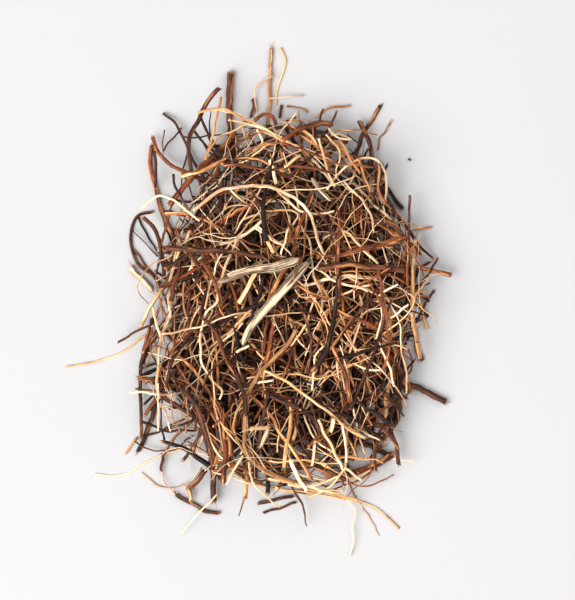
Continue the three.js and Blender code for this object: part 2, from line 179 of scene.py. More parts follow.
# The model's roots in the order they were laid, lowest first
ROOTS = [
    Root("core_root", DARK, (3.4, 3.0), 0, [(236, 262), (247, 290), (252, 318), (262, 345), (268, 372)]),
    Root("stray_root_left", STRAW, (0.9, 1.2), 0, [(63.8, 367.5), (75.3, 365.6), (98, 361.4), (121, 353),
         (140, 338), (170, 329)]),
    Root("loose_stick_foot", DARK, (1.7, 1.5), 0, [(175.3, 496), (185, 502), (202.8, 512), (219, 514.6)]),
    Root("foot_root_right", DARK, (2.2, 2.6), 4, [(352, 374), (374, 378), (396.5, 382), (415.6, 387),
         (438, 398), (447, 403)]),
    Root("straw_root_foot", STRAW, (1.6, 0.9), 5, [(228, 470), (250, 483), (288, 492.5), (319, 493),
         (342, 498.6), (365, 504.7), (380, 512), (400, 530.7)]),
    Root("fibre_foot", PALE, (0.9, 0.7), 0, [(338, 488), (357, 517), (351.8, 531), (354, 540), (351, 558)]),
    Root("fibre_left", PALE, (0.8, 0.9), 0, [(93, 475.6), (106, 477), (121, 475.6), (136.5, 469.5),
         (158, 457), (190, 447)]),
    Root("dark_root_left_foot", DARK, (1.9, 1.7), 2, [(160, 372), (155.5, 395), (153.5, 406), (150.5, 420),
         (146, 433), (141.4, 443.4), (136.5, 452.6)]),
    Root("dark_root_left", DARK, (2.0, 1.5), 4, [(152, 318), (148.8, 330), (142.3, 355), (140, 367),
         (139.6, 395), (140.3, 420), (141, 439.4)]),
    Root("hoop_root_left", DARK, (1.2, 1.3), 2, [(152, 211), (139, 213.6), (131.5, 225), (130, 236.5),
         (130.7, 250), (135.3, 261.8), (144.5, 270), (160, 284)]),
    Root("brown_root_upper_left", BROWN, (1.6, 1.9), 4, [(150.6, 144), (149.5, 160), (151, 176), (155, 191),
         (160, 206), (164, 219), (170, 232), (176, 242)]),
    Root("thick_root_top", DARK, (2.8, 2.5), 2, [(230.5, 70.7), (229.3, 95), (228.4, 118), (231.5, 128),
         (231.5, 138), (236, 176)]),
    Root("straw_root_top", STRAW, (1.9, 1.8), 0, [(270.9, 47), (270.5, 63), (269.7, 78), (269, 109),
         (264, 150)]),
    Root("straw_twig_top", STRAW, (1.0, 1.1), 0, [(280.4, 46), (285.8, 62), (281, 74.4), (276.6, 86),
         (276, 104)]),
    Root("dark_root_upper_right", DARK, (1.5, 1.6), 2, [(381, 104.5), (375.8, 114.4), (366.6, 129),
         (362, 135), (357.4, 150), (352, 184)]),
    Root("dark_twig_upper_left", DARK, (1.1, 1.3), 2, [(162, 112), (172, 118), (178, 129), (183.5, 141),
         (191, 155.6), (203, 176)]),
    Root("brown_bend_upper_left", BROWN, (1.7, 1.7), 4, [(151.4, 135.4), (153.7, 144), (160.6, 155.6),
         (173.6, 166), (189, 174), (214, 181)]),
    Root("thick_root_lower_left", DARK, (2.9, 2.6), 4, [(179, 393), (189, 403), (195, 412), (200, 423.5),
         (205.7, 436.5), (210.3, 452), (212, 470.6), (213.6, 503.5)]),
    Root("core_root_right", BROWN, (2.6, 2.3), 5, [(318, 236), (322, 268), (318, 300), (326, 332),
         (322, 366)]),
    Root("core_root_foot", BROWN, (2.8, 2.4), 5, [(262, 392), (276, 414), (296, 432), (322, 444),
         (350, 448)]),
    Root("core_root_head", BROWN, (2.4, 2.2), 5, [(214, 152), (238, 170), (270, 180), (300, 196),
         (322, 214)]),
    Root("grey_root_left", GREY, (2.7, 2.4), 2, [(157, 249), (173.6, 249.5), (198, 250.5), (229, 253.5),
         (250, 253)]),
    Root("brown_root_top", BROWN, (2.1, 2.1), 5, [(332.5, 123.4), (311.8, 123.4), (295, 133.4), (266, 145),
         (256.7, 149.4), (243, 159.4)]),
    Root("dark_root_right_shoulder", DARK, (2.1, 2.0), 5, [(359.7, 119.8), (366.6, 135), (369, 145),
         (372.7, 155), (377.3, 175.6), (381, 187), (378, 214)]),
    Root("dark_root_right", DARK, (2.1, 1.0), 4, [(376, 190), (386.6, 201), (398.9, 216.6), (406.5, 225.8),
         (414, 236.5), (423.3, 248.8), (434.8, 258.7)]),
    Root("brown_root_right", BROWN, (1.9, 1.9), 4, [(350, 262), (380, 266), (409, 267), (429.5, 268.4),
         (437, 272), (452, 275)]),
    Root("brown_root_right_foot", BROWN, (2.9, 2.7), 4, [(394, 455), (373.6, 467), (353.7, 474),
         (326, 477)]),
    Root("dark_root_right_foot", DARK, (2.0, 2.0), 4, [(392, 372), (395, 403), (398.8, 421), (385, 437),
         (373.6, 455.6)]),
    Root("straw_stick_right_foot", STRAW, (2.1, 2.0), 2, [(389, 384), (386.6, 396.7), (386, 434)]),
    Root("straw_root_left", STRAW, (2.1, 1.9), 4, [(175, 262), (166, 281), (157, 295), (150.5, 306),
         (145, 317), (140, 327)]),
    Root("brown_root_left", BROWN, (1.9, 1.8), 4, [(142.2, 216.6), (150.6, 225), (159.8, 239.6),
         (161.3, 252.6), (163.6, 279.4)]),
    Root("brown_root_left_foot", BROWN, (1.8, 1.3), 4, [(138.4, 378.4), (158.3, 381.4), (181, 387.5),
         (192.7, 393), (222, 404)]),
    Root("brown_root_upper_middle", BROWN, (2.5, 2.3), 4, [(235, 131), (227, 141), (219.5, 152),
         (206.5, 162), (193.5, 175.5), (187.3, 182), (176, 197.5), (169, 205)]),
    Root("dark_peeled_root", DARK, (1.9, 1.7), 4, [(218.7, 88), (213, 96), (203, 108), (196.5, 123.5),
         (190.4, 135.7), (189, 149), (192, 178)]),
    Root("grey_root_foot", GREY, (3.3, 3.0), 2, [(236.5, 441.5), (225, 455), (216.6, 470.6)]),
    Root("tan_root_foot", TAN, (2.4, 2.0), 4, [(251, 446), (247, 473), (245, 498)]),
    Root("tan_root_lower_middle", TAN, (2.1, 2.0), 4, [(297.3, 401), (298, 409), (295, 432), (291, 442),
         (284, 470)]),
    Root("straw_root_lower_right", STRAW, (2.1, 2.0), 4, [(344.5, 360), (345, 398), (346.8, 425),
         (346.8, 452), (344, 472)]),
    Root("brown_root_middle_right", BROWN, (1.3, 2.1), 4, [(311, 262), (333, 255.5), (349, 252), (363, 249),
         (384, 243.5), (399, 237)]),
    Root("brown_root_middle", BROWN, (2.5, 2.3), 4, [(305, 215), (302.6, 224), (298.8, 235), (295, 245.6),
         (287, 276), (262.8, 283.6), (246.8, 290.5)]),
    Root("pale_column_left", PALE, (1.7, 1.7), 4, [(182.5, 230), (178.5, 242), (176.5, 253), (173, 268),
         (170.5, 282), (168.8, 300), (169.5, 318), (161.3, 336.5), (159.4, 348), (158.3, 363), (157, 382),
         (159.5, 399)]),
    Root("tan_root_upper_middle", TAN, (2.0, 1.9), 4, [(278, 176), (290, 174), (303, 171), (318, 169),
         (332, 169.5)]),
    Root("tan_root_centre", TAN, (1.5, 1.5), 4, [(275, 306.6), (287.3, 319.6), (308, 330), (327, 345.6),
         (337.8, 351.7), (362, 357)]),
    Root("frayed_straw_root", STRAW, (1.5, 2.1), 2, [(415.7, 239), (415, 252), (413.4, 263), (412.4, 283),
         (412.4, 310), (413.4, 325), (418, 348), (420.3, 358)]),
    Root("pale_root_upper_right", PALE, (1.5, 1.3), 4, [(341.5, 174), (351.4, 180.7), (362, 190),
         (372, 203.6), (385, 214), (397, 226)]),
    Root("grey_root_centre", GREY, (2.6, 2.3), 0, [(298.8, 260), (279.7, 270), (256.7, 270),
         (231.5, 277.5)]),
    Root("pale_root_middle_right", PALE, (1.7, 1.6), 4, [(285, 289), (298, 286), (311, 283.5), (333, 278.5),
         (354, 275.5), (377, 279)]),
    Root("pale_root_top", PALE, (1.3, 1.3), 4, [(243, 119.6), (258.3, 128), (278.2, 138.7), (296.5, 147.2),
         (313.4, 160.7), (318.7, 166), (334.5, 187)]),
    Root("arched_root_right", PALE, (1.3, 1.3), 2, [(326.8, 190), (333, 181), (340.6, 171.8), (356, 160.3),
         (375, 160.3), (385, 172), (386.6, 190), (385, 203)]),
    Root("pale_root_left_middle", PALE, (2.0, 1.3), 4, [(269, 215), (254.4, 228), (246.8, 233.4),
         (238.4, 238.7), (229, 242.6), (220, 244.5)]),
    Root("pale_root_foot_right", PALE, (1.1, 1.1), 4, [(307, 396.6), (302.6, 406.6), (306.5, 425),
         (318.7, 441), (335, 454.5), (342.6, 470)]),
    Root("wandering_root", PALE, (1.3, 1.2), 2, [(238, 238), (228.6, 260), (220, 283), (216.4, 303),
         (204, 318), (201, 341), (202.6, 366), (213.3, 381.4), (225.6, 393.7), (227, 397.5),
         (219.5, 399.4)]),
    Root("forked_root_foot", STRAW, (1.5, 1.4), 4, [(245, 397.4), (239, 407), (233, 422.6), (234.5, 432),
         (238.4, 442), (249, 459.4)]),
    Root("long_bent_root", STRAW, (2.1, 1.9), 2, [(296.5, 329.5), (285, 347.7), (276.6, 356),
         (258.3, 374.4), (249, 393.6), (247.5, 405), (244.5, 432), (246.8, 453), (256, 463), (282, 478),
         (297, 483)]),
    Root("diagonal_root", STRAW, (1.5, 1.4), 2, [(265, 370.6), (285, 380.6), (308, 396.6), (331, 414),
         (354.4, 432.7), (365, 437.7)]),
    Root("grey_splinter", GREY, (3.1, 2.6), 0, [(308, 263), (300, 270.6), (289, 283), (278, 295),
         (259.8, 315), (246.8, 335), (243, 345)]),
    Root("great_arched_root", PALE, (1.7, 1.6), 2, [(193.5, 211), (204, 203), (215.6, 194.4), (227, 189),
         (243, 186), (258, 186.7), (273.6, 189.7), (286.6, 193.6), (296.5, 199), (304, 206.6),
         (313.4, 225.7), (320, 247), (324, 254.8)]),
]

# Thinner roots seen in the heap and on it, by their bark, in the order they are laid. Each begins with
# its thickness at both ends in millimetres, and its route in pixels follows.
LOOSE_LOW = {
    GREY: [
        [(2.5, 2.4), (383.6, 336.5), (383.6, 359.5)], [(2.1, 2.0), (269, 429), (259.8, 447)],
        [(2.1, 2.0), (157, 346), (150, 354.5), (145.7, 363)],
    ],
    DARK: [
        [(0.9, 0.7), (409.2, 157.6), (411.4, 159)], [(0.9, 0.8), (181, 126.6), (175, 133.5), (163, 150)],
        [(0.7, 0.6), (164, 129), (160.6, 141), (163, 154)],
        [(1.7, 1.6), (153.7, 150), (155.5, 165), (154.5, 187)],
        [(1.7, 1.6), (252, 97.4), (253, 107), (250.6, 116.5)], [(1.5, 1.4), (281.6, 103.5), (279.7, 116.5)],
        [(0.9, 0.8), (296.5, 115.4), (285.8, 120.3)],
        [(0.8, 0.9), (347.5, 132.8), (352.8, 137.4), (358.2, 143.5)],
        [(1.1, 1.0), (337.5, 109.8), (333.3, 118.3), (326, 133)],
        [(1.3, 1.2), (173.6, 174), (172.8, 181.4), (178, 192), (183.5, 202), (189, 210.5)],
        [(0.7, 0.6), (131.5, 229.6), (139, 236.5), (145, 244), (150.6, 251.8), (156.7, 256.4)],
        [(0.7, 0.6), (179.7, 218), (191, 228), (196.5, 230.4), (196.5, 236.5), (195.7, 244)],
        [(0.9, 0.8), (181, 238), (189, 242), (202.6, 244.5), (206.5, 245)],
        [(1.9, 1.8), (281, 146), (282, 157.6), (280, 172)],
        [(1.5, 1.2), (410.3, 195), (409.6, 213.6), (408.8, 225.8), (410.3, 250)],
        [(2.1, 2.0), (383.6, 221), (393.5, 225), (401, 232.7), (406.5, 242.6), (408.8, 251.8)],
        [(1.3, 1.2), (438.7, 257), (431.8, 267.7), (423.3, 282), (415, 290.6)],
        [(1.1, 1.0), (408.8, 349), (413.4, 362.5), (410.3, 371), (403.5, 377)],
        [(1.5, 1.4), (366, 422.7), (383.5, 429.6), (398.8, 449)],
        [(1.5, 0.7), (292, 487), (302, 507), (307, 527.5)], [(1.9, 1.8), (257.7, 504.7), (292.8, 498)],
        [(1.3, 1.2), (263, 514.6), (296, 504)],
        [(0.9, 0.8), (133.5, 442), (145.7, 449), (164, 452.7), (175, 449.5), (182, 443.5), (192.7, 436.5)],
        [(1.7, 1.5), (161.3, 454), (161.3, 472.5)], [(1.1, 1.0), (134.5, 389), (146.8, 390.6), (166, 393)],
        [(1.3, 1.2), (117, 342.5), (130.4, 334.7), (139.6, 330), (148, 326)],
        [(2.9, 2.8), (205, 470.6), (198, 479), (190.6, 488)],
    ],
    BROWN: [
        [(2.0, 1.9), (254.4, 119.6), (260.6, 115), (267.4, 114), (275, 117), (276, 124)],
        [(1.1, 1.0), (323.8, 108.3), (320, 117.5), (313, 131)],
        [(2.4, 2.3), (286.6, 187.4), (296.5, 186), (308, 184.4)],
        [(1.5, 1.4), (222.3, 200.5), (233.8, 215), (250.6, 226.5)],
        [(1.7, 1.6), (409.6, 264.6), (405, 279), (400.4, 290.6), (392.7, 307.4)],
        [(0.7, 0.5), (431, 283), (421.8, 286), (410, 288)],
        [(0.7, 0.5), (426.4, 299.8), (418, 292), (410, 286)], [(1.3, 1.2), (266, 300.4), (246.8, 324)],
        [(1.0, 0.6), (245, 496), (242, 506), (238.8, 515.8)], [(2.1, 2.0), (230.4, 463), (248, 469)],
    ],
    TAN: [
        [(1.2, 1.1), (221, 97), (218, 114), (212, 136.5), (205.7, 160)],
        [(2.1, 2.0), (399, 350), (395, 363), (393.5, 379)],
        [(1.1, 0.7), (392.3, 119), (388.8, 127.4), (380, 138), (378.9, 149)],
        [(1.0, 0.9), (348, 483), (366, 487), (394.6, 475.6)],
    ],
    STRAW: [
        [(2.1, 2.0), (289, 399.7), (292, 409), (291, 420), (286.6, 443), (284.5, 467)],
        [(1.3, 1.2), (136, 439), (129, 448), (123.8, 455)], [(2.6, 2.0), (186, 488), (191, 497), (190, 502)],
        [(1.3, 1.1), (350.6, 104), (342, 104.5), (335, 106.8), (327.6, 108.3), (318, 116)],
    ],
    PALE: [
        [(0.7, 0.6), (161.3, 472), (163, 482), (167.7, 489), (174.5, 496)],
        [(0.8, 0.7), (139.6, 474), (161, 488.6), (176, 488.6), (190, 481.7), (200.8, 469.5)],
        [(1.1, 1.0), (128.4, 392.5), (153, 393.7), (176, 397)],
        [(1.0, 0.5), (216.6, 495), (200.6, 512.3), (190, 524), (179.9, 536.4)],
        [(0.7, 0.6), (303.4, 94.3), (285, 95), (269.7, 97)],
        [(0.8, 0.7), (273.6, 74.4), (262.8, 80.6), (255, 87), (254.4, 101), (256.7, 111)],
        [(0.7, 0.5), (393.5, 459.5), (415.6, 463)], [(0.8, 0.4), (361.7, 508), (371, 521.5), (380, 537.6)],
    ],
}

LOOSE_TOP = {
    GREY: [
        [(2.6, 3.4), (228, 276), (250, 270.5), (275, 267), (299, 260)],
        [(1.6, 2.4), (216, 283), (236, 277), (252, 268), (262, 262)],
        [(1.5, 1.3), (311.8, 178), (316.4, 185), (323.3, 193.6), (331, 201)],
    ],
    DARK: [
        [(2.5, 2.7), (180, 387), (190, 398), (200, 415), (208, 440), (213, 468)],
        [(2.5, 2.1), (167, 248), (195, 250), (230, 252), (263, 257)],
        [(2.1, 1.9), (362, 168), (366, 185), (374, 200)], [(2.0, 1.8), (378, 165), (380, 185), (384, 205)],
        [(2.8, 2.6), (318, 268), (350, 265), (380, 268), (405, 271)],
        [(1.9, 1.7), (300, 305), (308, 325), (311, 350), (307, 378)],
        [(2.2, 2.0), (236, 372), (244, 392), (247, 415)], [(2.0, 1.8), (268, 395), (262, 420), (259, 448)],
    ],
    BROWN: [
        [(1.8, 1.7), (202, 317), (214, 330), (222, 348), (232, 370), (240, 387)],
        [(2.3, 2.5), (317, 257), (345, 253), (380, 245), (407, 237)],
        [(2.1, 1.9), (293, 243), (300, 225), (308, 205), (312, 195)],
        [(2.4, 2.6), (281, 142), (292, 134), (306, 127), (318, 124), (332, 124)],
        [(1.9, 1.8), (298, 134), (310, 141), (322, 148), (330, 158)],
        [(2.2, 2.0), (330, 330), (336, 355), (346, 380), (350, 402)],
        [(1.9, 1.7), (203, 262), (215, 283), (222, 305)],
        [(1.8, 1.6), (225, 165), (245, 158), (266, 163), (284, 172)],
        [(1.7, 1.6), (262, 172), (285, 168), (310, 168), (334, 174)],
    ],
    TAN: [
        [(1.9, 1.6), (301, 129), (312, 138), (322, 154), (330, 169)],
        [(2.2, 1.9), (182, 177), (200, 172), (216, 164), (226, 158)],
        [(1.2, 1.0), (358, 159), (364, 176), (370, 192)],
        [(1.1, 1.0), (286.6, 104.7), (295, 105), (302.6, 108), (308, 111)],
        [(0.9, 0.8), (335, 130.5), (352.8, 129), (363.6, 131), (377.3, 134)],
        [(1.3, 1.2), (338.3, 139.7), (344.4, 145.8), (347.5, 153.5), (351.3, 162), (359.7, 174)],
        [(0.7, 0.6), (172.8, 255), (154.4, 264), (146.8, 271), (138.4, 280.7), (138, 288), (142, 296),
         (148, 304)], [(1.7, 1.6), (165, 213.6), (178, 212), (189, 213.6)],
        [(1.1, 1.0), (414, 229), (433.3, 226.6)],
        [(0.9, 0.8), (355, 350), (383.6, 347), (399, 345), (407, 349)],
        [(1.3, 1.2), (347.6, 316), (355, 322), (363, 327), (382, 325.8)],
        [(1.9, 1.8), (331.7, 306), (316.4, 329.5)], [(1.5, 1.4), (313.4, 276), (327, 297.4)],
        [(1.5, 1.4), (346.8, 436.5), (358.3, 458.7)],
        [(1.1, 1.0), (335, 456.4), (369.7, 458.7), (382.7, 462.5)], [(1.7, 1.6), (315, 459), (330, 468)],
    ],
    STRAW: [
        [(1.3, 0.8), (196, 114), (212, 110), (230, 111), (246, 119), (262, 128), (279, 138), (297, 146)],
        [(1.1, 0.9), (221, 164), (239, 164), (252, 156), (270, 145), (286, 143), (300, 147)],
        [(1.2, 0.9), (205, 159), (218, 138), (231, 133), (244, 125), (254, 121)],
        [(1.0, 0.8), (281, 121), (296, 128), (309, 138), (322, 151)],
        [(1.3, 1.1), (268, 478), (300, 484), (330, 492), (358, 500)],
        [(1.1, 0.9), (275, 488), (305, 494), (335, 497), (362, 505)],
        [(1.2, 1.0), (262, 470), (285, 480), (312, 489), (340, 490)],
        [(1.7, 1.6), (300.3, 156), (292.7, 162), (284.3, 167.5)],
        [(1.7, 1.6), (263.6, 236.4), (269, 245), (273.6, 253)],
        [(2.5, 2.3), (259.8, 263), (252, 280), (243, 296.6), (239, 302.7)],
        [(1.9, 1.8), (318.7, 363), (308, 385)],
    ],
    PALE: [
        [(0.8, 0.7), (228, 120), (239, 122), (252, 125), (270, 132), (296, 146), (322, 156), (338, 166)],
        [(0.8, 0.6), (331, 135), (338, 134), (350, 138)],
        [(0.7, 0.5), (233, 117), (243, 131), (254, 139), (261, 152)],
        [(0.6, 0.5), (240, 116), (247, 126), (247, 138), (240, 147)],
        [(1.2, 1.0), (290, 473), (320, 480), (350, 480), (372, 470)],
        [(0.9, 0.8), (200.3, 112.8), (208, 110.5), (218.7, 109.7), (230, 112), (243, 116.5)],
        [(0.9, 0.8), (243, 121), (243.7, 131.8), (246.8, 142.5), (250.6, 152.5)],
        [(1.1, 1.0), (256.7, 129.5), (261.3, 138.7), (263.6, 142.5), (256, 150), (243, 159)],
        [(1.3, 1.2), (318.5, 139), (322.2, 151), (325.3, 162.6), (328.4, 174), (334.5, 187)],
        [(1.1, 1.0), (328.4, 127.4), (333.7, 135), (339.8, 138), (351.7, 139)],
        [(1.3, 1.2), (141.4, 209), (150.6, 200.6), (161.3, 194), (167.4, 196.7), (187.3, 212),
         (200.3, 221)], [(1.3, 1.2), (189.6, 231), (185.8, 240), (180.5, 250), (176.6, 258.7)],
        [(1.1, 1.0), (192.7, 247), (192.3, 259.5), (193.5, 279), (200.3, 288), (205.7, 296.7)],
        [(2.8, 2.4), (129.5, 267), (139, 279), (151, 291)],
        [(1.3, 1.2), (275, 188), (282.8, 196.6), (292, 203.5), (300, 210.4), (306.5, 213.8), (325.6, 214),
         (334, 211)], [(1.1, 1.0), (243, 189), (256.7, 196.6), (264.4, 200.8), (283.5, 201.6), (292, 204)],
        [(1.1, 1.0), (243, 220), (259.8, 213.5), (269.8, 211), (291, 211), (296.5, 212), (297.7, 215.8),
         (292.7, 225)], [(1.1, 1.0), (258.3, 227), (267.4, 235), (275, 241), (283.5, 245.6)],
        [(1.1, 1.0), (288, 229), (285.8, 237), (281, 255)],
        [(1.7, 1.6), (269.7, 160), (272, 169), (275, 176.7), (276, 184.4)],
        [(1.1, 1.0), (230, 189.7), (243, 202), (250.6, 206.6)],
        [(1.1, 1.0), (344, 182), (355, 193.7), (363, 201), (367.5, 209), (371, 218), (374, 232.7)],
        [(1.3, 1.2), (323, 239), (331, 234.5), (340.5, 231.5), (348.4, 235), (356.8, 242), (371, 256.4),
         (378, 264)], [(1.3, 1.2), (330, 279), (349, 285), (367.5, 291.4)],
        [(1.1, 1.0), (323.3, 301), (341.5, 294.4), (360.6, 288.3), (372, 284.5)],
        [(1.1, 1.0), (379, 296), (397.3, 284.5)],
        [(1.1, 1.0), (359.8, 295), (361.8, 306), (359.5, 326.6), (353, 341), (348.7, 355)],
        [(1.3, 2.0), (363, 299.4), (383.6, 303), (389.7, 305), (390, 325), (388, 332)],
        [(1.1, 1.0), (408, 304.4), (391, 318), (383.6, 323.5)], [(1.3, 1.2), (379.7, 334), (372.8, 345)],
        [(1.1, 1.0), (354.5, 364), (372.8, 371), (380.5, 370)], [(1.6, 1.5), (236.5, 352), (249.5, 345.5)],
        [(1.3, 1.2), (248.3, 308), (220, 325.7)], [(1.5, 1.4), (243, 322.6), (223, 341)],
        [(0.9, 0.8), (295, 289), (301, 296.6), (315, 297.4)], [(1.3, 1.2), (258.3, 383), (273.6, 380)],
        [(2.1, 2.0), (250.6, 428), (269.7, 425.7)], [(1.1, 1.0), (323.3, 346), (315, 360), (311.8, 390)],
        [(1.3, 1.2), (318, 419), (331.5, 446.5), (342, 467)], [(1.3, 1.2), (337.6, 360), (339, 387)],
        [(1.3, 1.2), (342, 425), (346.8, 452), (346, 462)], [(2.1, 1.9), (333, 418), (330, 431)],
        [(2.1, 1.9), (290.6, 459), (299.8, 480.6), (306.7, 490.5)],
        [(1.1, 1.0), (288, 483.6), (309.7, 486), (339.6, 475)],
        [(1.3, 1.2), (309, 497), (326.6, 489), (341, 473.7), (345.7, 466.8)],
        [(1.5, 1.4), (315, 440), (312, 465)], [(1.3, 1.2), (345.7, 468), (361.8, 480.6)],
        [(1.3, 1.2), (202, 416), (206.5, 430), (213.3, 444), (221, 456), (230, 466)],
        [(1.3, 1.2), (153, 307), (160.6, 336.5)], [(0.9, 0.8), (158.3, 383), (158.3, 431)],
        [(0.9, 0.8), (172, 389), (172.4, 429)], [(0.9, 0.8), (159.8, 403), (166, 412), (170.5, 431)],
        [(1.1, 1.0), (243.4, 455), (225.8, 484.4)],
        [(0.9, 0.8), (248.8, 461), (254, 483.6), (267, 497.4), (280, 506.6)],
        [(0.9, 0.8), (213.6, 472), (236.5, 479), (250, 483.6)],
    ],
}


def shares_of(low: float, high: float, share: np.ndarray) -> np.ndarray:
    """A straight run from low to high, at shares of the way."""
    return low + (high - low) * share


def in_millimetres(places: Sequence[Place]) -> np.ndarray:
    """Turns pixels of the photograph into places on the surface.

    Args:
        places: Pixels, x to the right and y down.

    Returns:
        An (n, 3) array in millimetres, at no height.
    """
    pixels = np.array(places, float)
    flat = (pixels - MIDDLE_PIXEL) * MM_PER_PIXEL * (1.0, -1.0)
    return np.column_stack([flat, np.zeros(len(flat))])


def spline(points: np.ndarray, shares: np.ndarray) -> np.ndarray:
    """A centripetal Catmull-Rom curve: a cubic between each two points, with both neighbours' slopes.

    Args:
        points: The (n, 3) points that the curve passes.
        shares: Places along it, 0 at the first point and 1 at the last.

    Returns:
        The (m, 3) places on the curve.
    """
    ends = 2 * points[0] - points[1], 2 * points[-1] - points[-2]
    padded = np.vstack([ends[0], points, ends[1]])
    place = np.clip(shares, 0, 1) * (len(points) - 1)
    index = np.minimum(place.astype(int), len(points) - 2)
    w = (place - index)[:, None]
    p0, p1, p2, p3 = (padded[index + k] for k in range(4))
    d0, d1, d2 = (np.maximum(((b - a) ** 2).sum(1, keepdims=True) ** 0.25, 1e-4)
                  for a, b in ((p0, p1), (p1, p2), (p2, p3)))
    s1 = ((p1 - p0) / d0 - (p2 - p0) / (d0 + d1) + (p2 - p1) / d1) * d1
    s2 = ((p2 - p1) / d1 - (p3 - p1) / (d1 + d2) + (p3 - p2) / d2) * d1
    return p1 + w * s1 + w ** 2 * (3 * (p2 - p1) - 2 * s1 - s2) + w ** 3 * (2 * (p1 - p2) + s1 + s2)


def evenly(points: np.ndarray, pitch: float, least: int = 3) -> np.ndarray:
    """Places on the spline through some points, one for about each pitch of its length.

    Args:
        points: The points that the curve passes.
        pitch: Wanted distance between two places.
        least: Fewest steps.

    Returns:
        The (n, 3) places, evenly spaced by length.
    """
    shares = np.linspace(0, 1, 201)
    fine = spline(points, shares)
    lengths = np.concatenate([[0], np.cumsum(np.linalg.norm(np.diff(fine, axis=0), axis=1))])
    count = max(least, math.floor(lengths[-1] / pitch + 0.5))
    return spline(points, np.interp(np.linspace(0, lengths[-1], count + 1), lengths, shares))


class Draws:
    """Even random numbers from a seed, the same ones that the model draws."""

    MASK = 0xFFFFFFFF
    STEP = 0x6D2B79F5
    SPAN = 4294967296

    def __init__(self, seed: int) -> None:
        """Starts the row of numbers at a seed."""
        self.state = seed & self.MASK

    def __call__(self) -> float:
        """The next number, from 0 to 1."""
        self.state = (self.state + self.STEP) & self.MASK
        t = self.state
        t = ((t ^ (t >> 15)) * (t | 1)) & self.MASK
        t ^= (t + (((t ^ (t >> 7)) * (t | 61)) & self.MASK)) & self.MASK
        return ((t ^ (t >> 14)) & self.MASK) / self.SPAN


@dataclass
class Strand:
    """One root or rootlet: its stations, the radius at each, and the main root's station it leaves."""

    stations: np.ndarray
    radii: np.ndarray
    sides: int = 6
    foot: int = 0

    def travel(self) -> np.ndarray:
        """The plan distance from the first station to each."""
        steps = np.hypot(*np.diff(self.stations[:, :2], axis=0).T)
        return np.concatenate([[0], np.cumsum(steps)])

    def samples(self, step: float) -> np.ndarray:
        """Places along the strand: columns x, y, radius, distance travelled, segment and share of it."""
        rows = []
        travel = self.travel()
        for i in range(1, len(self.stations)):
            length = travel[i] - travel[i - 1]
            share = np.linspace(0, 1, math.ceil(length / step) + 1)
            start, end = self.stations[i - 1, :2], self.stations[i, :2]
            here = start + np.outer(share, end - start)
            radius = shares_of(self.radii[i - 1], self.radii[i], share)
            rows.append(np.column_stack([here, radius, travel[i - 1] + share * length,
                                         np.full(len(share), i), share]))
        return np.vstack(rows)


def fall(distance: np.ndarray) -> np.ndarray:
    """How much lower than a support a root hangs at a distance: a curve, then a straight slope."""
    bend = STEEPEST / (2 * SAG)
    return np.where(distance < bend, SAG * distance ** 2, SAG * bend ** 2 + STEEPEST * (distance - bend))


class Bed:
    """The height map: how high the roots already laid reach over each cell of the surface."""

    def __init__(self) -> None:
        """Starts with a bare surface."""
        self.side = round(FIELD / CELL)
        self.tops = np.zeros((self.side, self.side))

    def cells(self, x: np.ndarray, y: np.ndarray, radius: np.ndarray) -> Tuple[np.ndarray, ...]:
        """The cells under discs: row and column of each, and whether it is within the disc."""
        span = ((radius + EDGE) / CELL)[:, None, None]
        column, row = (((v + FIELD / 2) / CELL)[:, None, None] for v in (x, y))
        reach = np.arange(-math.ceil(span.max()) - 1, math.ceil(span.max()) + 2)
        i = np.floor(column).astype(int) + reach[None, None, :] + 0 * reach[None, :, None]
        j = np.floor(row).astype(int) + reach[None, :, None] + 0 * reach[None, None, :]
        inside = np.hypot(i + 0.5 - column, j + 0.5 - row) <= span
        return j, i, inside

    def top(self, x: np.ndarray, y: np.ndarray, radius: np.ndarray) -> np.ndarray:
        """The highest cell under each disc."""
        j, i, inside = self.cells(x, y, radius)
        return np.where(inside, self.tops[j, i], 0).reshape(len(x), -1).max(1)

    def lift(self, x: np.ndarray, y: np.ndarray, radius: np.ndarray, height: np.ndarray) -> None:
        """Raises the cells under each disc to at least a height."""
        j, i, inside = self.cells(x, y, radius)
        tall = np.broadcast_to(height[:, None, None], inside.shape)
        np.maximum.at(self.tops, (j[inside], i[inside]), tall[inside])


def canopy(bed: Bed) -> np.ndarray:
    """The heap's height cell by cell, smoothed over a few millimetres."""
    smooth = bed.tops
    window = np.ones(CANOPY_CELLS) / CANOPY_CELLS
    for axis in (0, 1, 0, 1):
        smooth = np.apply_along_axis(np.convolve, axis, smooth, window, "same")
    return smooth


def main_strand(root: Root) -> Strand:
    """The plan of a main root: stations along a smooth curve through its places."""
    stations = evenly(in_millimetres(root.places), RING_PITCH)
    radii = np.linspace(root.widths[0], root.widths[1], len(stations)) / 2
    return Strand(stations, radii, 6 if root.rootlets == 0 or root.widths[0] > THICK else 5)


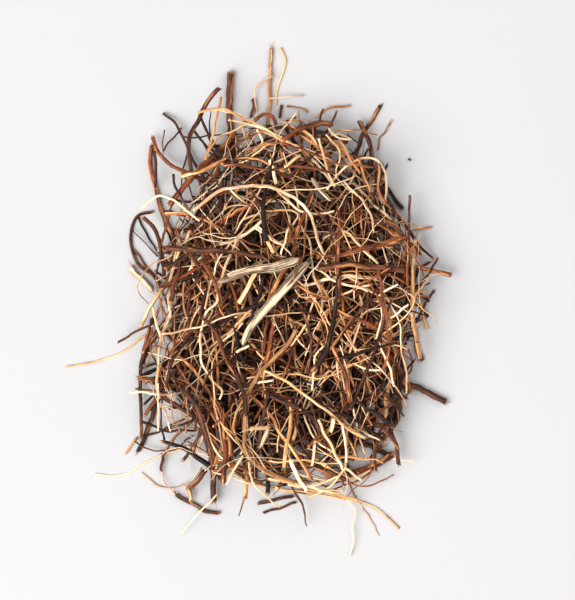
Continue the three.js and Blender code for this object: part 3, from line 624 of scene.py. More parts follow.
def wander(main: Strand, draw: Draws) -> Strand:
    """The plan of one rootlet that leaves a main root at one of its stations and wanders off."""
    foot = 1 + math.floor(draw() * (len(main.stations) - 2))
    along = main.stations[foot + 1] - main.stations[foot - 1]
    turn = (-1 if draw() < 0.5 else 1) * shares_of(*LEAVING_ANGLE, draw())
    backwards = math.pi if draw() < BACKWARDS else 0
    count = math.floor(shares_of(*ROOTLET_LENGTH, draw()) / ROOTLET_PITCH + 0.5)
    radius = min(shares_of(*ROOTLET_RADIUS, draw()), main.radii[foot] * SLIMMER)
    bend = (draw() - 0.5) * MOST_BEND
    heading = math.atan2(along[1], along[0]) + turn + backwards
    stations = [main.stations[foot].copy()]
    for i in range(count):
        heading += bend + (draw() - 0.5) * UNEVEN_BEND
        stations.append(stations[i] + ROOTLET_PITCH * np.array([math.cos(heading), math.sin(heading), 0]))
    radii = radius * np.linspace(1, ROOTLET_TAPER, count + 1)
    return Strand(np.array(stations), radii, 3, foot)


def off_middle(places: np.ndarray) -> np.ndarray:
    """How far places are from the heap's middle, 1 on its outline, an ellipse."""
    return np.hypot(*((places[:, :2] - HEAP_MIDDLE) / HEAP_HALF).T)


def rootlet_strand(main: Strand, draw: Draws) -> Strand:
    """The rootlet that keeps within the heap best, of a few that could grow from a main root."""
    choices = [wander(main, draw) for _ in range(CHOICES)]
    return min(choices, key=lambda strand: int((off_middle(strand.stations) > 1).sum()))


def underside(radius: np.ndarray, sides: int) -> np.ndarray:
    """The distance from a section's middle to the flat at its underside."""
    return radius * math.cos(math.pi / sides)


def lay(bed: Bed, strands: List[Strand]) -> None:
    """Gives a root and its rootlets their heights: a smooth line over all that lies below, and no lower.

    Args:
        bed: The height map, which takes the strands in.
        strands: The main root first, then its rootlets.
    """
    travels = [strand.travel() for strand in strands]
    feet = [travels[0][strand.foot] for strand in strands]
    samples = [strand.samples(SAMPLE_STEP) for strand in strands]
    needs, rests = [], []
    for strand, rows in zip(strands, samples):
        top = bed.top(rows[:, 0], rows[:, 1], rows[:, 2])
        rests.append(top > 0)
        needs.append(np.where(top > 0, top + GAP + rows[:, 2] * TILT_ALLOWANCE,
                              underside(rows[:, 2], strand.sides)))
    heights = []
    for b, strand in enumerate(strands):
        height = underside(strand.radii, strand.sides)
        for a, rows in enumerate(samples):
            travelled = rows[rests[a], 3][None, :]
            here = travels[b][:, None]
            if a == b:
                apart = np.abs(travelled - here)
            else:
                on_main = np.abs((travelled if a == 0 else feet[a]) - (here if b == 0 else feet[b]))
                apart = (0 if a == 0 else travelled) + (0 if b == 0 else here) + on_main
            if travelled.size:
                height = np.maximum(height, (needs[a][rests[a]][None, :] - fall(apart)).max(1))
        heights.append(height)
    for k, rows in enumerate(samples):
        for need, segment, share in zip(needs[k], rows[:, 4].astype(int), rows[:, 5]):
            ends = [(0, strands[k].foot) if k and i == 0 else (k, i) for i in (segment - 1, segment)]
            low, high = (heights[a][i] for a, i in ends)
            short = need - (low + (high - low) * share)
            if short > LEAST_LIFT:
                for a, i in ends:
                    heights[a][i] += short
    for k, strand in enumerate(strands):
        if k:
            heights[k][0] = heights[0][strand.foot]
        strand.stations[:, 2] = heights[k]
    for strand, rows in zip(strands, samples):
        segment = rows[:, 4].astype(int)
        middle = shares_of(strand.stations[segment - 1, 2], strand.stations[segment, 2], rows[:, 5])
        bed.lift(rows[:, 0], rows[:, 1], rows[:, 2], middle + rows[:, 2] * TILT_ALLOWANCE)


def lean(bed: Bed, strand: Strand, loft: float) -> None:
    """Rests a thin strand on the bed, without pressing it in.

    Args:
        bed: The height map, which stays as it is.
        strand: The strand to rest.
        loft: How far it is held above what it crosses.
    """
    rows = strand.samples(LEAN_STEP)
    top = bed.top(rows[:, 0], rows[:, 1], rows[:, 2])
    need = np.where(top > 0, top + loft, 0) + rows[:, 2]
    apart = np.abs(rows[:, 3][None, :] - strand.travel()[:, None])
    strand.stations[:, 2] = (need[None, :] - fall(apart) * LIMPNESS).max(1)


class Edge:
    """The edge of the dense mass, as its distance from the heap's middle in each direction."""

    def __init__(self, places: Sequence[Place]) -> None:
        """Takes the edge's places, in pixels, in order round the heap."""
        offset = in_millimetres(places)[:, :2] - HEAP_MIDDLE
        self.angles = np.arctan2(offset[:, 1], offset[:, 0])
        self.reaches = np.hypot(*offset.T)

    def reach(self, angle: Union[float, np.ndarray]) -> np.ndarray:
        """The distance of the edge in a direction, in millimetres."""
        return np.interp(angle, self.angles, self.reaches, period=2 * math.pi)

    def share(self, places: np.ndarray) -> np.ndarray:
        """How far places are from the heap's middle, 1 on the edge."""
        offset = places[:, :2] - HEAP_MIDDLE
        return np.hypot(*offset.T) / self.reach(np.arctan2(offset[:, 1], offset[:, 0]))


MASS_EDGE = [(252, 124), (300, 122), (342, 136), (368, 156), (386, 184), (396, 212), (416, 236), (426, 262),
             (422, 300), (416, 340), (416, 378), (406, 410), (396, 440), (378, 464), (348, 482), (300, 488),
             (250, 484), (208, 470), (178, 450), (154, 430), (150, 400), (152, 360), (160, 320), (164, 280),
             (172, 246), (182, 214), (197, 190), (211, 164), (227, 140)]


@dataclass(frozen=True)
class Scatter:
    """Loose rootlets strewn by a seeded rule through a share of the heap's depth.

    The depth runs from 0, under everything, to 1, over everything. Radius and length are in millimetres,
    curl is the usual bend in radians from one step to the next, loft is how far they are held above what
    they cross, spread is below 1 where they crowd towards the edge, stray is how far past the edge they
    may reach, taper is their radius at both ends over the one drawn, and heading is the way that most run.
    """

    name: str
    bark: Bark
    count: int
    depth: Tuple[float, float]
    radius: Tuple[float, float]
    length: Tuple[float, float]
    curl: float
    loft: float = 0.6
    spread: float = 0.62
    stray: float = 0.06
    taper: Tuple[float, float] = (1.12, 0.62)
    heading: float = math.pi / 2

    def strands(self, edge: Edge, rng: np.random.Generator) -> List[Tuple[float, Strand]]:
        """Each strand's depth and plan: a path whose heading drifts, both ways from its middle."""
        made = []
        while len(made) < self.count:
            steps = max(LEAST_STEPS, int(rng.uniform(*self.length) / STRAND_STEP))
            bends = rng.normal(0, self.curl, steps) + rng.normal(0, self.curl * STEADY_BEND)
            heading = self.heading + rng.normal(0, HEADING_SCATTER) + np.cumsum(bends)
            path = np.cumsum(np.column_stack([np.cos(heading), np.sin(heading)]) * STRAND_STEP, axis=0)
            angle = rng.uniform(0, 2 * math.pi)
            far = rng.uniform() ** self.spread * edge.reach(angle)
            middle = np.array(HEAP_MIDDLE) + far * np.array([math.cos(angle), math.sin(angle)])
            plan = np.column_stack([path - path[steps // 2] + middle, np.zeros(steps)])
            if edge.share(plan).max() <= 1 + abs(rng.normal(0, self.stray)):
                radii = rng.uniform(*self.radius) * np.linspace(*self.taper, steps)
                made.append((rng.uniform(*self.depth), Strand(plan, radii)))
        return made


SCATTERS = [
    Scatter("dark_rootlets_low", DARK, 300, (0.0, 0.5), (0.45, 1.05), (28, 70), 0.09),
    Scatter("brown_rootlets_low", BROWN, 130, (0.1, 0.6), (0.4, 0.9), (28, 70), 0.09),
    Scatter("brown_roots", BROWN, 46, (0.35, 0.93), (0.7, 1.1), (26, 60), 0.06),
    Scatter("dark_roots", DARK, 38, (0.4, 0.93), (0.7, 1.15), (24, 56), 0.06),
    Scatter("tan_rootlets", TAN, 56, (0.4, 0.86), (0.24, 0.7), (28, 76), 0.11),
    Scatter("straw_rootlets", STRAW, 34, (0.35, 0.8), (0.22, 0.6), (28, 76), 0.12),
    Scatter("pale_rootlets", PALE, 52, (0.6, 0.92), (0.2, 0.48), (30, 84), 0.13),
    Scatter("brown_rootlets_top", BROWN, 54, (0.7, 0.93), (0.26, 0.62), (24, 60), 0.12),
    Scatter("dark_rootlets_top", DARK, 30, (0.7, 0.9), (0.3, 0.75), (20, 50), 0.12),
    Scatter("pale_hairs", PALE, 170, (0.6, 1.0), (0.12, 0.24), (18, 60), 0.24, 0.9, 0.5, 0.12),
    Scatter("tan_hairs", TAN, 70, (0.5, 1.0), (0.12, 0.26), (18, 50), 0.24, 0.9, 0.5, 0.1),
    Scatter("straw_rootlets_across", STRAW, 46, (0.6, 0.96), (0.2, 0.42), (26, 66), 0.14, spread=0.3,
            heading=0.0),
    Scatter("brown_rootlets_across", BROWN, 54, (0.4, 0.94), (0.26, 0.66), (22, 54), 0.12, spread=0.3,
            heading=0.0),
]


@dataclass
class Surface:
    """The vertices, faces and marks of a piece, gathered strand by strand."""

    vertices: List[np.ndarray] = field(default_factory=list)
    quads: List[np.ndarray] = field(default_factory=list)
    triangles: List[np.ndarray] = field(default_factory=list)
    quad_maps: List[np.ndarray] = field(default_factory=list)
    triangle_maps: List[np.ndarray] = field(default_factory=list)
    tints: List[np.ndarray] = field(default_factory=list)
    cuts: List[np.ndarray] = field(default_factory=list)
    count: int = 0

    def add_tube(self, path: np.ndarray, radii: np.ndarray, sides: int, rng: np.random.Generator,
                 gnarl: float, split: bool = False, youth: float = 0.0) -> None:
        """Adds a closed root along a path.

        The surface is a circle carried along the path, its radius times 1 plus a few slow ridges round
        it, rings of wrinkles along it and a little chance, with both ends cut square and slightly hollow.

        Args:
            path: The (n, 3) middle line in millimetres.
            radii: The radius at each place.
            sides: Vertices round the root.
            rng: Source of chance.
            gnarl: How strong ridges and wrinkles are, as a share of the radius.
            split: Whether it is a flat splinter, ridged along its length, and not a round root.
            youth: The least of its tint, which runs from 0 for an aged root to 1.
        """
        n = len(path)
        along = np.gradient(path, axis=0)
        along /= np.linalg.norm(along, axis=1, keepdims=True)
        across = np.cross((0, 0, 1), along)
        across /= np.maximum(np.linalg.norm(across, axis=1, keepdims=True), 1e-6)
        over = np.cross(along, across)
        travel = np.concatenate([[0], np.cumsum(np.linalg.norm(np.diff(path, axis=0), axis=1))])
        angle = np.linspace(0, 2 * math.pi, sides, endpoint=False) - math.pi / 2
        twist = travel[:, None] * rng.uniform(-TWIST, TWIST)
        phase = rng.uniform(0, ROUND, 4)
        ridges = (np.cos(3 * angle + twist * 2 + phase[0]) * RIDGES[0]
                  + np.cos(2 * angle + twist + phase[1]) * RIDGES[1])
        wrinkles = sum(np.sin(travel * pace + start) * high
                       for (pace, high), start in zip(WRINKLES, phase[2:]))[:, None]
        chance = rng.normal(0, PITTING, (n, sides))
        flat = 1.0
        if split:
            flat = SPLIT_HEIGHT
            ridges, wrinkles, chance = (part * share for part, share in (
                (ridges, SPLIT_RIDGES), (wrinkles, SPLIT_WRINKLES), (chance, SPLIT_PITTING)))
        radius = radii[:, None] * (1 + gnarl * (ridges + wrinkles + chance))
        ring = (path[:, None, :] + radius[..., None] * (np.cos(angle)[None, :, None] * across[:, None, :]
                + flat * np.sin(angle)[None, :, None] * over[:, None, :]))
        slants = rng.uniform(-CUT_SLANT, CUT_SLANT, 2)
        ring[0] += (np.cos(angle) * radii[0] * slants[0])[:, None] * along[0]
        ring[-1] += (np.cos(angle) * radii[-1] * slants[1])[:, None] * along[-1]
        rims = [path[k] + (ring[k] - path[k]) * RIM for k in (0, -1)]
        hearts = [ring[k].mean(0) + along[k] * radii[k] * push for k, push in ((0, HOLLOW), (-1, -HOLLOW))]
        block = np.vstack([ring.reshape(-1, 3), rims[0], rims[1], hearts[0], hearts[1]])
        block[:, 2] = np.maximum(block[:, 2], 0)
        base = self.count
        around = np.arange(sides)
        after = (around + 1) % sides
        rows = np.arange(n - 1)[:, None] * sides
        quads = np.stack([rows + around, rows + after, rows + sides + after, rows + sides + around], -1)
        low, high, last = n * sides, (n + 1) * sides, (n - 1) * sides
        caps = [np.stack([low + around, low + after, after, around], -1),
                np.stack([last + around, last + after, high + after, high + around], -1)]
        fans = [np.stack([np.full(sides, (n + 2) * sides), low + after, low + around], -1),
                np.stack([np.full(sides, (n + 2) * sides + 1), high + around, high + after], -1)]
        u = np.stack([around, around + 1, around + 1, around], -1) / sides
        v = np.stack([travel[:-1], travel[:-1], travel[1:], travel[1:]], -1) / MAP_LENGTH
        wide = np.broadcast_to(u[None], (n - 1, sides, 4))
        tall = np.broadcast_to(v[:, None], (n - 1, sides, 4))
        self.vertices.append(block)
        self.quads += [base + quads.reshape(-1, 4), base + caps[0], base + caps[1]]
        self.quad_maps += [np.stack([wide, tall], -1).reshape(-1, 2)]
        self.quad_maps += [np.stack([u, np.full_like(u, travel[k] / MAP_LENGTH)], -1).reshape(-1, 2)
                           for k in (0, -1)]
        self.triangles += [base + fans[0], base + fans[1]]
        self.triangle_maps += [np.full((sides * 3, 2), 0.5) for _ in fans]
        self.tints.append(np.full(len(block), rng.uniform(youth, 1)))
        worn = rng.uniform(0, 1, 2) ** 2
        bare = worn[0] * np.exp(-travel / WORN_END) + worn[1] * np.exp((travel - travel[-1]) / WORN_END)
        cut = np.ones(len(block))
        cut[:low] = np.repeat(bare, sides)
        self.cuts.append(cut)
        self.count += len(block)

    def painted_shade_depths(self, cover: np.ndarray) -> np.ndarray:
        """How far each vertex lies under the heap's canopy, from 0 near it to 1: the share of painted shade
        that darkens it.
        """
        x, y, z = np.vstack(self.vertices).T
        column, row = (np.clip(((v + FIELD / 2) / CELL).astype(int), 0, len(cover) - 1) for v in (x, y))
        over = cover[row, column]
        under = np.clip((over - z - FREE_DEPTH) / (FULL_DEPTH - FREE_DEPTH), 0, 1)
        return under * np.minimum(over / DENSE, 1)

    def as_object(self, name: str, cover: np.ndarray) -> bpy.types.Object:
        """Makes the gathered strands one mesh object, in metres, at the origin.

        Args:
            name: Its name.
            cover: The heap's canopy, cell by cell.
        """
        mesh = bpy.data.meshes.new(name)
        quads, triangles = (np.vstack(f) for f in (self.quads, self.triangles))
        corners = np.concatenate([quads.ravel(), triangles.ravel()])
        starts = np.concatenate([np.arange(len(quads)) * 4, quads.size + np.arange(len(triangles)) * 3])
        mesh.vertices.add(self.count)
        mesh.vertices.foreach_set("co", (np.vstack(self.vertices) * METRES).ravel())
        mesh.loops.add(len(corners))
        mesh.loops.foreach_set("vertex_index", corners)
        mesh.polygons.add(len(starts))
        mesh.polygons.foreach_set("loop_start", starts)
        mesh.polygons.foreach_set("use_smooth", np.ones(len(starts), bool))
        strand_map = mesh.uv_layers.new(name="strand")
        strand_map.data.foreach_set("uv", np.vstack(self.quad_maps + self.triangle_maps).ravel())
        # The third mark is how far under the heap's canopy each vertex lies, which the finish paints as
        # shade
        marks = {"tint": np.concatenate(self.tints), "cut": np.concatenate(self.cuts),
                 "painted_shade_depth": self.painted_shade_depths(cover)}
        for label, values in marks.items():
            mesh.attributes.new(label, "FLOAT", "POINT").data.foreach_set("value", values)
        mesh.update()
        mesh.validate()
        piece = bpy.data.objects.new(name, mesh)
        bpy.context.scene.collection.objects.link(piece)
        return piece


def wobble(path: np.ndarray, amount: float, rng: np.random.Generator) -> np.ndarray:
    """Bends a path a little, by slow waves that fade out at both ends and never go below the surface."""
    n = len(path)
    travel = np.linspace(0, 1, n)
    length = np.linalg.norm(np.diff(path, axis=0), axis=1).sum()
    shift = np.zeros((n, 3))
    for wave in WAVES:
        turns = 2 * math.pi * length / wave
        amplitude = rng.normal(0, amount * wave / WAVES[0], 3) * (1, 1, UPWARDS)
        shift += np.sin(travel[:, None] * turns + rng.uniform(0, ROUND, 3)) * amplitude
    return path + shift * np.minimum(1, FADE * travel * (PAST_END - travel))[:, None]


@dataclass
class Dresser:
    """Turns strands into fine surfaces of bark."""

    ring_pitch: float = 1.3
    gnarl: float = 0.07

    def dress(self, surface: Surface, strand: Strand, bark: Bark, rng: np.random.Generator, sides: int,
              bent: float, youth: float = 0.0) -> None:
        """Adds one strand's tube to a surface, and torn fibres at both ends of a thick one.

        Args:
            surface: The surface that takes it.
            strand: The strand, with its heights.
            bark: Its bark: the grey ones are split and flat.
            rng: Source of chance.
            sides: Vertices round it.
            bent: How far it wobbles off its line, in millimetres.
            youth: The least of its tint.
        """
        split = bark is GREY
        path = wobble(evenly(strand.stations, self.ring_pitch, LEAST_RINGS),
                      bent * (SPLIT_BENT if split else 1.0), rng)
        radii = np.interp(np.linspace(0, 1, len(path)), np.linspace(0, 1, len(strand.radii)), strand.radii)
        path[:, 2] = np.maximum(path[:, 2], radii * SUNK)
        if split:
            share = np.linspace(0, 1, len(path))
            ends = SPLIT_END + SPLIT_POINT * np.minimum(share, 1 - share)
            radii = radii * SPLIT_WIDTH * np.minimum(1, ends)
        surface.add_tube(path, radii, sides, rng, self.gnarl, split, youth)
        if strand.radii.max() * 2 > FRAYED_WIDTH:
            reach = WOOD_REACH if bark in (PALE, STRAW, GREY) else BARK_REACH
            self.fray(surface, path, float(radii.mean()), reach, rng)

    def fray(self, surface: Surface, path: np.ndarray, radius: float, reach: float,
             rng: np.random.Generator) -> None:
        """Adds the torn fibres at both cut ends of a thick root: short thin tubes that spread a little."""
        for end, inner in ((path[0], path[2]), (path[-1], path[-3])):
            out = (end - inner) / np.linalg.norm(end - inner)
            for _ in range(rng.integers(*FIBRES)):
                start = end + rng.normal(0, radius * FIBRE_FOOT, 3) - out * FIBRE_ROOTED
                aim = out + rng.normal(0, FIBRE_AIM, 3)
                run = np.linspace(0, 1, FIBRE_STEPS)[:, None]
                length = rng.uniform(*FIBRE_LENGTH)
                fibre = start + aim * length * reach * run + rng.normal(0, FIBRE_BEND, 3) * run ** 2
                thick = rng.uniform(*FIBRE_RADIUS)
                fibre[:, 2] = np.maximum(fibre[:, 2], thick)
                radii = np.linspace(thick, thick * FIBRE_TIP, FIBRE_STEPS)
                surface.add_tube(fibre, radii, FIBRE_SIDES, rng, FIBRE_GNARL)


Number = Union[float, "Shade"]


class Shade:
    """A shader socket that takes part in arithmetic: each operator adds one Math node."""

    def __init__(self, board: "Board", socket: bpy.types.NodeSocket) -> None:
        """Wraps a socket of a board."""
        self.board, self.socket = board, socket

    def _maths(self, operation: str, *values: Number) -> "Shade":
        """Adds a Math node with an operation and its values."""
        return self.board.node("ShaderNodeMath", {"operation": operation}, dict(enumerate(values)))

    def __add__(self, other: Number) -> "Shade":
        """This plus another."""
        return self._maths("ADD", self, other)

    def __sub__(self, other: Number) -> "Shade":
        """This less another."""
        return self._maths("SUBTRACT", self, other)

    def __mul__(self, other: Number) -> "Shade":
        """This times another."""
        return self._maths("MULTIPLY", self, other)

    def step(self, low: float, high: float) -> "Shade":
        """A smooth rise from 0 at low to 1 at high."""
        return self.board.node("ShaderNodeMapRange", {"interpolation_type": "SMOOTHSTEP"},
                               {0: self, 1: low, 2: high, 3: 0.0, 4: 1.0})


class Board:
    """The nodes of one material."""

    def __init__(self, name: str) -> None:
        """Starts a material with nothing but its output."""
        self.material = bpy.data.materials.new(name)
        self.material.use_nodes = True
        self.tree = self.material.node_tree
        self.tree.nodes.clear()

    def node(self, kind: str, settings: Dict[str, object], inputs: Dict[Union[int, str], object],
             output: Union[int, str] = 0) -> Shade:
        """Adds a node.

        Args:
            kind: The node's type.
            settings: Its own settings, made first.
            inputs: A value or a shade for each socket, by number or name.
            output: Which output to hand back.

        Returns:
            That output as a shade.
        """
        made = self.tree.nodes.new(kind)
        for key, value in settings.items():
            setattr(made, key, value)
        for key, value in inputs.items():
            if isinstance(value, Shade):
                self.tree.links.new(value.socket, made.inputs[key])
            else:
                made.inputs[key].default_value = value
        return Shade(self, made.outputs[output])

    def noise(self, vector: Shade, scale: float, detail: float) -> Shade:
        """Cloudy noise over a vector, about 0.5 on average."""
        inputs = {"Vector": vector, "Scale": scale, "Detail": detail, "Roughness": NOISE_ROUGHNESS}
        return self.node("ShaderNodeTexNoise", {}, inputs, "Fac")

    def mix(self, share: Number, first: object, second: object) -> Shade:
        """A colour between two, at a share of the way."""
        return self.node("ShaderNodeMix", {"data_type": "RGBA", "clamp_factor": True},
                         {0: share, 6: first, 7: second}, 2)

    def vector(self, x: Number, y: Number, z: Number) -> Shade:
        """A vector of three numbers."""
        return self.node("ShaderNodeCombineXYZ", {}, {0: x, 1: y, 2: z})

    def covered_with(self, shader: Shade) -> bpy.types.Material:
        """Links a shader to the output and hands the material back."""
        output = self.tree.nodes.new("ShaderNodeOutputMaterial")
        self.tree.links.new(shader.socket, output.inputs["Surface"])
        return self.material


def linear(red: int, green: int, blue: int) -> Tuple[float, float, float, float]:
    """A screen colour, 0 to 255 each, as a linear one for the shader."""
    parts = [v / 255 for v in (red, green, blue)]
    return (*(p / 12.92 if p <= 0.04045 else ((p + 0.055) / 1.055) ** 2.4 for p in parts), 1.0)


# The bark's noises, broad tones, streaks, wrinkles and worn places: how fast each changes round the root
# and along it, how far apart the patterns of two roots lie in it, and its detail
BARK_NOISES = ((3.2, 1.7, 43.0, 2.0), (9.0, 2.4, 61.0, 4.0), (2.0, 11.0, 23.0, 3.0), (2.2, 1.6, 97.0, 3.0))
NOISE_ROUGHNESS = 0.55
PATCH_SCALE, GRAIN_SCALE = 150.0, 1100.0  # per metre
RELIEF = {"Strength": 0.9, "Distance": 0.0003}
SHEEN = 0.22


@dataclass(frozen=True)
class Finish:
    """How one bark looks: its colour, its furrows, the bare wood under it and how much of that shows.

    Aged is the colour that the oldest roots of this bark turn to. Streaking is how fast its marks change
    along the root.
    """

    bark: Tuple[int, int, int]
    furrow: Tuple[int, int, int]
    wood: Tuple[int, int, int]
    aged: Tuple[int, int, int]
    peel: float
    furrowed: float
    rough: float
    streaking: float = 0.42

    def material(self, name: str) -> bpy.types.Material:
        """Builds the finish: streaks run along the root, patches cross it, cut ends show the wood, and roots
        under the heap's canopy get painted shade.
        """
        board = Board(name)
        strand = board.node("ShaderNodeUVMap", {"uv_map": "strand"}, {})
        spot = board.node("ShaderNodeTexCoord", {}, {}, "Object")
        split = board.tree.nodes.new("ShaderNodeSeparateXYZ")
        board.tree.links.new(strand.socket, split.inputs[0])
        around = Shade(board, split.outputs[0]) * (1 / math.sqrt(self.streaking))
        along = Shade(board, split.outputs[1]) * self.streaking
        tint = board.node("ShaderNodeAttribute", {"attribute_name": "tint"}, {}, "Fac")
        cut = board.node("ShaderNodeAttribute", {"attribute_name": "cut"}, {}, "Fac")
        broad, streaks, wrinkles, worn = (
            board.noise(board.vector(around * a, along * b, tint * c), 1.0, detail)
            for a, b, c, detail in BARK_NOISES)
        patches = board.noise(spot, PATCH_SCALE, 3.0)
        grain = board.noise(spot, GRAIN_SCALE, 2.0)
        furrows = (broad * 0.45 + streaks * 0.4 + wrinkles * 0.15).step(0.55, 0.43) * self.furrowed
        colour = board.mix(furrows, linear(*self.bark), linear(*self.furrow))
        colour = board.mix(patches.step(0.44, 0.68) * 0.4, colour, linear(*self.furrow))
        age = tint * -1.0 + 1.0
        colour = board.mix(age * age * 1.6, colour, linear(*self.aged))
        bare = (worn + (tint - 0.5) * 0.16).step(0.66 - self.peel * 0.3, 0.72 - self.peel * 0.3)
        wood = board.mix(streaks.step(0.35, 0.65) * 0.5, linear(*self.wood), linear(*self.bark))
        colour = board.mix(bare, colour, wood)
        light = tint * 0.4 + grain * 0.3 + 0.8
        # Painted shade: the further a root lies under the heap's canopy, the darker its colour is painted
        painted_shade_depth = board.node("ShaderNodeAttribute", {"attribute_name": "painted_shade_depth"}, {}, "Fac")
        light = light * (painted_shade_depth * -PAINTED_SHADE + 1.0)
        colour = board.node("ShaderNodeVectorMath", {"operation": "SCALE"}, {0: colour, "Scale": light})
        ragged = (cut * (streaks + 0.6)).step(0.3, 0.65) * 0.88
        colour = board.mix(ragged, colour, linear(*self.wood))
        height = broad * 0.4 + streaks * 0.5 + wrinkles * 0.6 + grain * 0.25
        bump = board.node("ShaderNodeBump", {}, {**RELIEF, "Height": height})
        shader = board.node("ShaderNodeBsdfPrincipled", {}, {
            "Base Color": colour, "Roughness": (patches * 0.25 + (self.rough - 0.16)), "Normal": bump,
            "Specular IOR Level": SHEEN})
        return board.covered_with(shader)


FINISHES = {
    PALE: Finish((236, 198, 154), (180, 126, 82), (246, 222, 188), (130, 74, 38), 0.40, 0.65, 0.6),
    STRAW: Finish((228, 178, 120), (144, 86, 48), (242, 208, 162), (110, 58, 28), 0.28, 0.75, 0.6),
    TAN: Finish((192, 125, 74), (86, 43, 22), (238, 194, 134), (76, 36, 18), 0.28, 0.85, 0.6),
    BROWN: Finish((138, 72, 39), (44, 21, 11), (210, 146, 90), (44, 20, 11), 0.22, 0.9, 0.56),
    DARK: Finish((106, 60, 39), (31, 17, 11), (168, 112, 70), (30, 16, 11), 0.12, 0.95, 0.58),
    GREY: Finish((190, 166, 138), (72, 50, 36), (208, 186, 156), (134, 106, 82), 0.30, 1.0, 0.7, 0.22),
}


@dataclass(frozen=True)
class Lamp:
    """A square soft light: its place and size in metres, its power in watts and its colour."""

    name: str
    place: Tuple[float, float, float]
    size: float
    power: float
    colour: Colour


LAMPS = [Lamp("key_light", (-1.85, -1.2, 2.3), 2.8, 206.0, (1.0, 0.99, 0.98)),
         Lamp("fill_light", (1.6, 1.3, 1.8), 2.2, 36.0, (1.0, 0.95, 0.92))]
AIR_COLOUR = (0.95, 0.97, 1.0, 1.0)
AIR_STRENGTH = 0.34
FLOOR_TONES = ((190, 190, 191), (193, 192, 193))
FLOOR_DROP = 0.0001


@dataclass
class Studio:
    """The pale floor, the soft light from the lower left and the camera that looks straight down."""

    camera_height: float = 1.5
    focus_height: float = 0.012
    sensor: float = 24.0
    floor_size: float = 6.0

    def build(self) -> None:
        """Builds all three and sets the camera."""
        self._floor()
        for lamp in LAMPS:
            self._light(lamp)
        world = bpy.data.worlds.new("studio_air")
        world.use_nodes = True
        air = world.node_tree.nodes["Background"]
        air.inputs["Color"].default_value = AIR_COLOUR
        air.inputs["Strength"].default_value = AIR_STRENGTH
        scene = bpy.context.scene
        scene.world = world
        scene.view_settings.view_transform = "Standard"
        self._camera()

    def _floor(self) -> None:
        """A large flat sheet just under the heap."""
        half = self.floor_size / 2
        mesh = bpy.data.meshes.new("floor")
        corners = ((-half, -half), (half, -half), (half, half), (-half, half))
        mesh.from_pydata([(x, y, -FLOOR_DROP) for x, y in corners], [], [(0, 1, 2, 3)])
        floor = bpy.data.objects.new("floor", mesh)
        bpy.context.scene.collection.objects.link(floor)
        board = Board("floor_paper")
        grain = board.noise(board.node("ShaderNodeTexCoord", {}, {}, "Object"), 3.0, 2.0)
        colour = board.mix(grain, *(linear(*tone) for tone in FLOOR_TONES))
        shader = board.node("ShaderNodeBsdfDiffuse", {}, {"Color": colour})
        mesh.materials.append(board.covered_with(shader))

    def _light(self, lamp: Lamp) -> None:
        """Hangs a lamp, aimed at the heap."""
        data = bpy.data.lights.new(lamp.name, "AREA")
        data.size, data.energy, data.color = lamp.size, lamp.power, lamp.colour
        light = bpy.data.objects.new(lamp.name, data)
        x, y, z = light.location = lamp.place
        light.rotation_euler = (math.atan2(math.hypot(x, y), z), 0, math.atan2(y, x) + math.pi / 2)
        bpy.context.scene.collection.objects.link(light)

    def _camera(self) -> None:
        """The camera over the photograph's middle, with its frame as tall as the photograph."""
        data = bpy.data.cameras.new("camera")
        data.sensor_fit = "VERTICAL"
        data.sensor_height = self.sensor
        tall = FRAME_PIXELS[1] * MM_PER_PIXEL * METRES
        data.lens = self.sensor * (self.camera_height - self.focus_height) / tall
        camera = bpy.data.objects.new("camera", data)
        middle = in_millimetres([(FRAME_PIXELS[0] / 2, FRAME_PIXELS[1] / 2)])[0] * METRES
        camera.location = (middle[0], middle[1], self.camera_height)
        bpy.context.scene.collection.objects.link(camera)
        bpy.context.scene.camera = camera


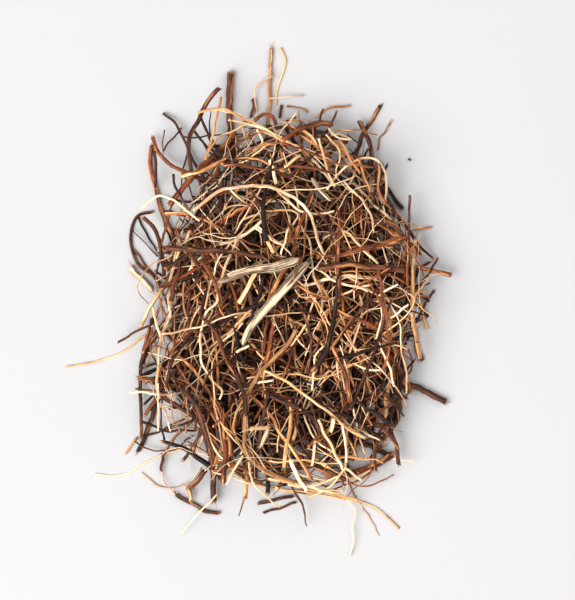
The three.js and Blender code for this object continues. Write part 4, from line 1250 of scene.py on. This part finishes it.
class Heap:
    """The whole tangle: the model's roots dressed one by one, and all the thinner ones between them."""

    def __init__(self) -> None:
        """Gets the six finishes ready."""
        self.bed = Bed()
        self.dresser = Dresser()
        self.materials = {bark: finish.material(bark.value) for bark, finish in FINISHES.items()}
        self.dressed: List[Surface] = []

    def finish_piece(self, surface: Surface, cover: np.ndarray, name: str, bark: Bark,
                     node: str = "") -> None:
        """Makes a surface a piece of the heap, with its finish and what it stands for."""
        piece = surface.as_object(name, cover)
        piece.data.materials.append(self.materials[bark])
        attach(piece, "root")
        if node:
            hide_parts(node)
        LOG.info("%s: %d vertices", name, surface.count)

    def dress_root(self, root: Root, index: int) -> None:
        """Lays one of the model's roots with its rootlets and gives it its bark."""
        draw = Draws(index + 1)
        main = main_strand(root)
        strands = [main] + [rootlet_strand(main, draw) for _ in range(root.rootlets)]
        lay(self.bed, strands)
        self.compare(root.name, strands)
        rng = np.random.default_rng(ROOT_SEED + index)
        surface = Surface()
        slim = PALE_WIDTH if root.bark in (PALE, STRAW) else 1.0
        main.radii = main.radii * slim
        self.dresser.dress(surface, main, root.bark, rng, MAIN_SIDES, MAIN_BENT, TRACED_YOUTH)
        for rootlet in strands[1:]:
            rootlet.radii = rootlet.radii * slim * np.linspace(*DRESSED_WIDTH, len(rootlet.radii))
            self.dresser.dress(surface, rootlet, root.bark, rng, THIN_SIDES, ROOTLET_BENT)
        self.dressed.append(surface)

    def compare(self, name: str, strands: List[Strand]) -> None:
        """Stops if the laid height, in millimetres, is not the model's."""
        top = max(float((s.stations[:, 2] + s.radii).max()) for s in strands)
        off = abs(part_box(name)[1][2] / METRES - top)
        if off > HEIGHT_TOLERANCE:
            raise ValueError(f"{name}: its top is {off:.2f} mm off the node")

    def rest(self, group: "Group", strand: Strand) -> None:
        """Rests one thin strand on what is laid so far and gives it its bark."""
        lean(self.bed, strand, group.loft * group.rng.uniform(*LOFT_RANGE))
        self.dresser.dress(group.surface, strand, group.bark, group.rng, group.sides, THIN_BENT, group.youth)

    def build(self) -> None:
        """Lays the roots from the lowest up, with the thinner ones of each depth between them."""
        groups = thin_groups()
        waiting = deque(sorted(((depth * len(ROOTS), group, strand) for group in groups
                                for depth, strand in group.strands), key=lambda item: item[0]))
        for index, root in enumerate(ROOTS):
            while waiting and waiting[0][0] <= index:
                self.rest(*waiting.popleft()[1:])
            self.dress_root(root, index)
        for _, group, strand in waiting:
            self.rest(group, strand)
        cover = canopy(self.bed)
        for root, surface in zip(ROOTS, self.dressed):
            self.finish_piece(surface, cover, root.name + "_bark", root.bark, root.name)
        for group in groups:
            self.finish_piece(group.surface, cover, group.name, group.bark)


@dataclass
class Group:
    """Thin roots of one bark that make one piece, each with its depth, and the surface they gather on."""

    name: str
    bark: Bark
    sides: int
    loft: float
    strands: List[Tuple[float, Strand]]
    rng: np.random.Generator
    youth: float = 0.0
    surface: Surface = field(default_factory=Surface)


def thin_groups() -> List[Group]:
    """All the thinner roots: the strewn ones first, then the traced ones by depth and bark."""
    edge = Edge(MASS_EDGE)
    groups = []
    for order, scatter in enumerate(SCATTERS):
        rng = np.random.default_rng(STREWN_SEED + order)
        sides = THIN_SIDES if scatter.radius[1] > HAIR else HAIR_SIDES
        strands = scatter.strands(edge, rng)
        groups.append(Group(scatter.name, scatter.bark, sides, scatter.loft, strands, rng))
    for label, traced, depth in (("low", LOOSE_LOW, LOW_DEPTH), ("top", LOOSE_TOP, TOP_DEPTH)):
        for bark, routes in traced.items():
            strands = []
            for widths, *places in routes:
                plan = evenly(in_millimetres(places), STRAND_STEP, 2)
                radii = np.linspace(*widths, len(plan)) / 2 * TRACED_WIDTH
                strands.append((depth, Strand(plan, radii)))
            rng = np.random.default_rng(TRACED_SEED + len(groups))
            groups.append(Group(f"{bark.value}s_{label}", bark, TRACED_SIDES, TRACED_LOFT, strands, rng,
                                TRACED_YOUTH))
    return groups


def main() -> None:
    """Loads the frame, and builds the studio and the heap."""
    logging.basicConfig(level=logging.INFO, format="%(name)s %(levelname)s %(message)s")
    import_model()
    Studio().build()
    Heap().build()
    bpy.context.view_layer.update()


if __name__ == "__main__":
    main()
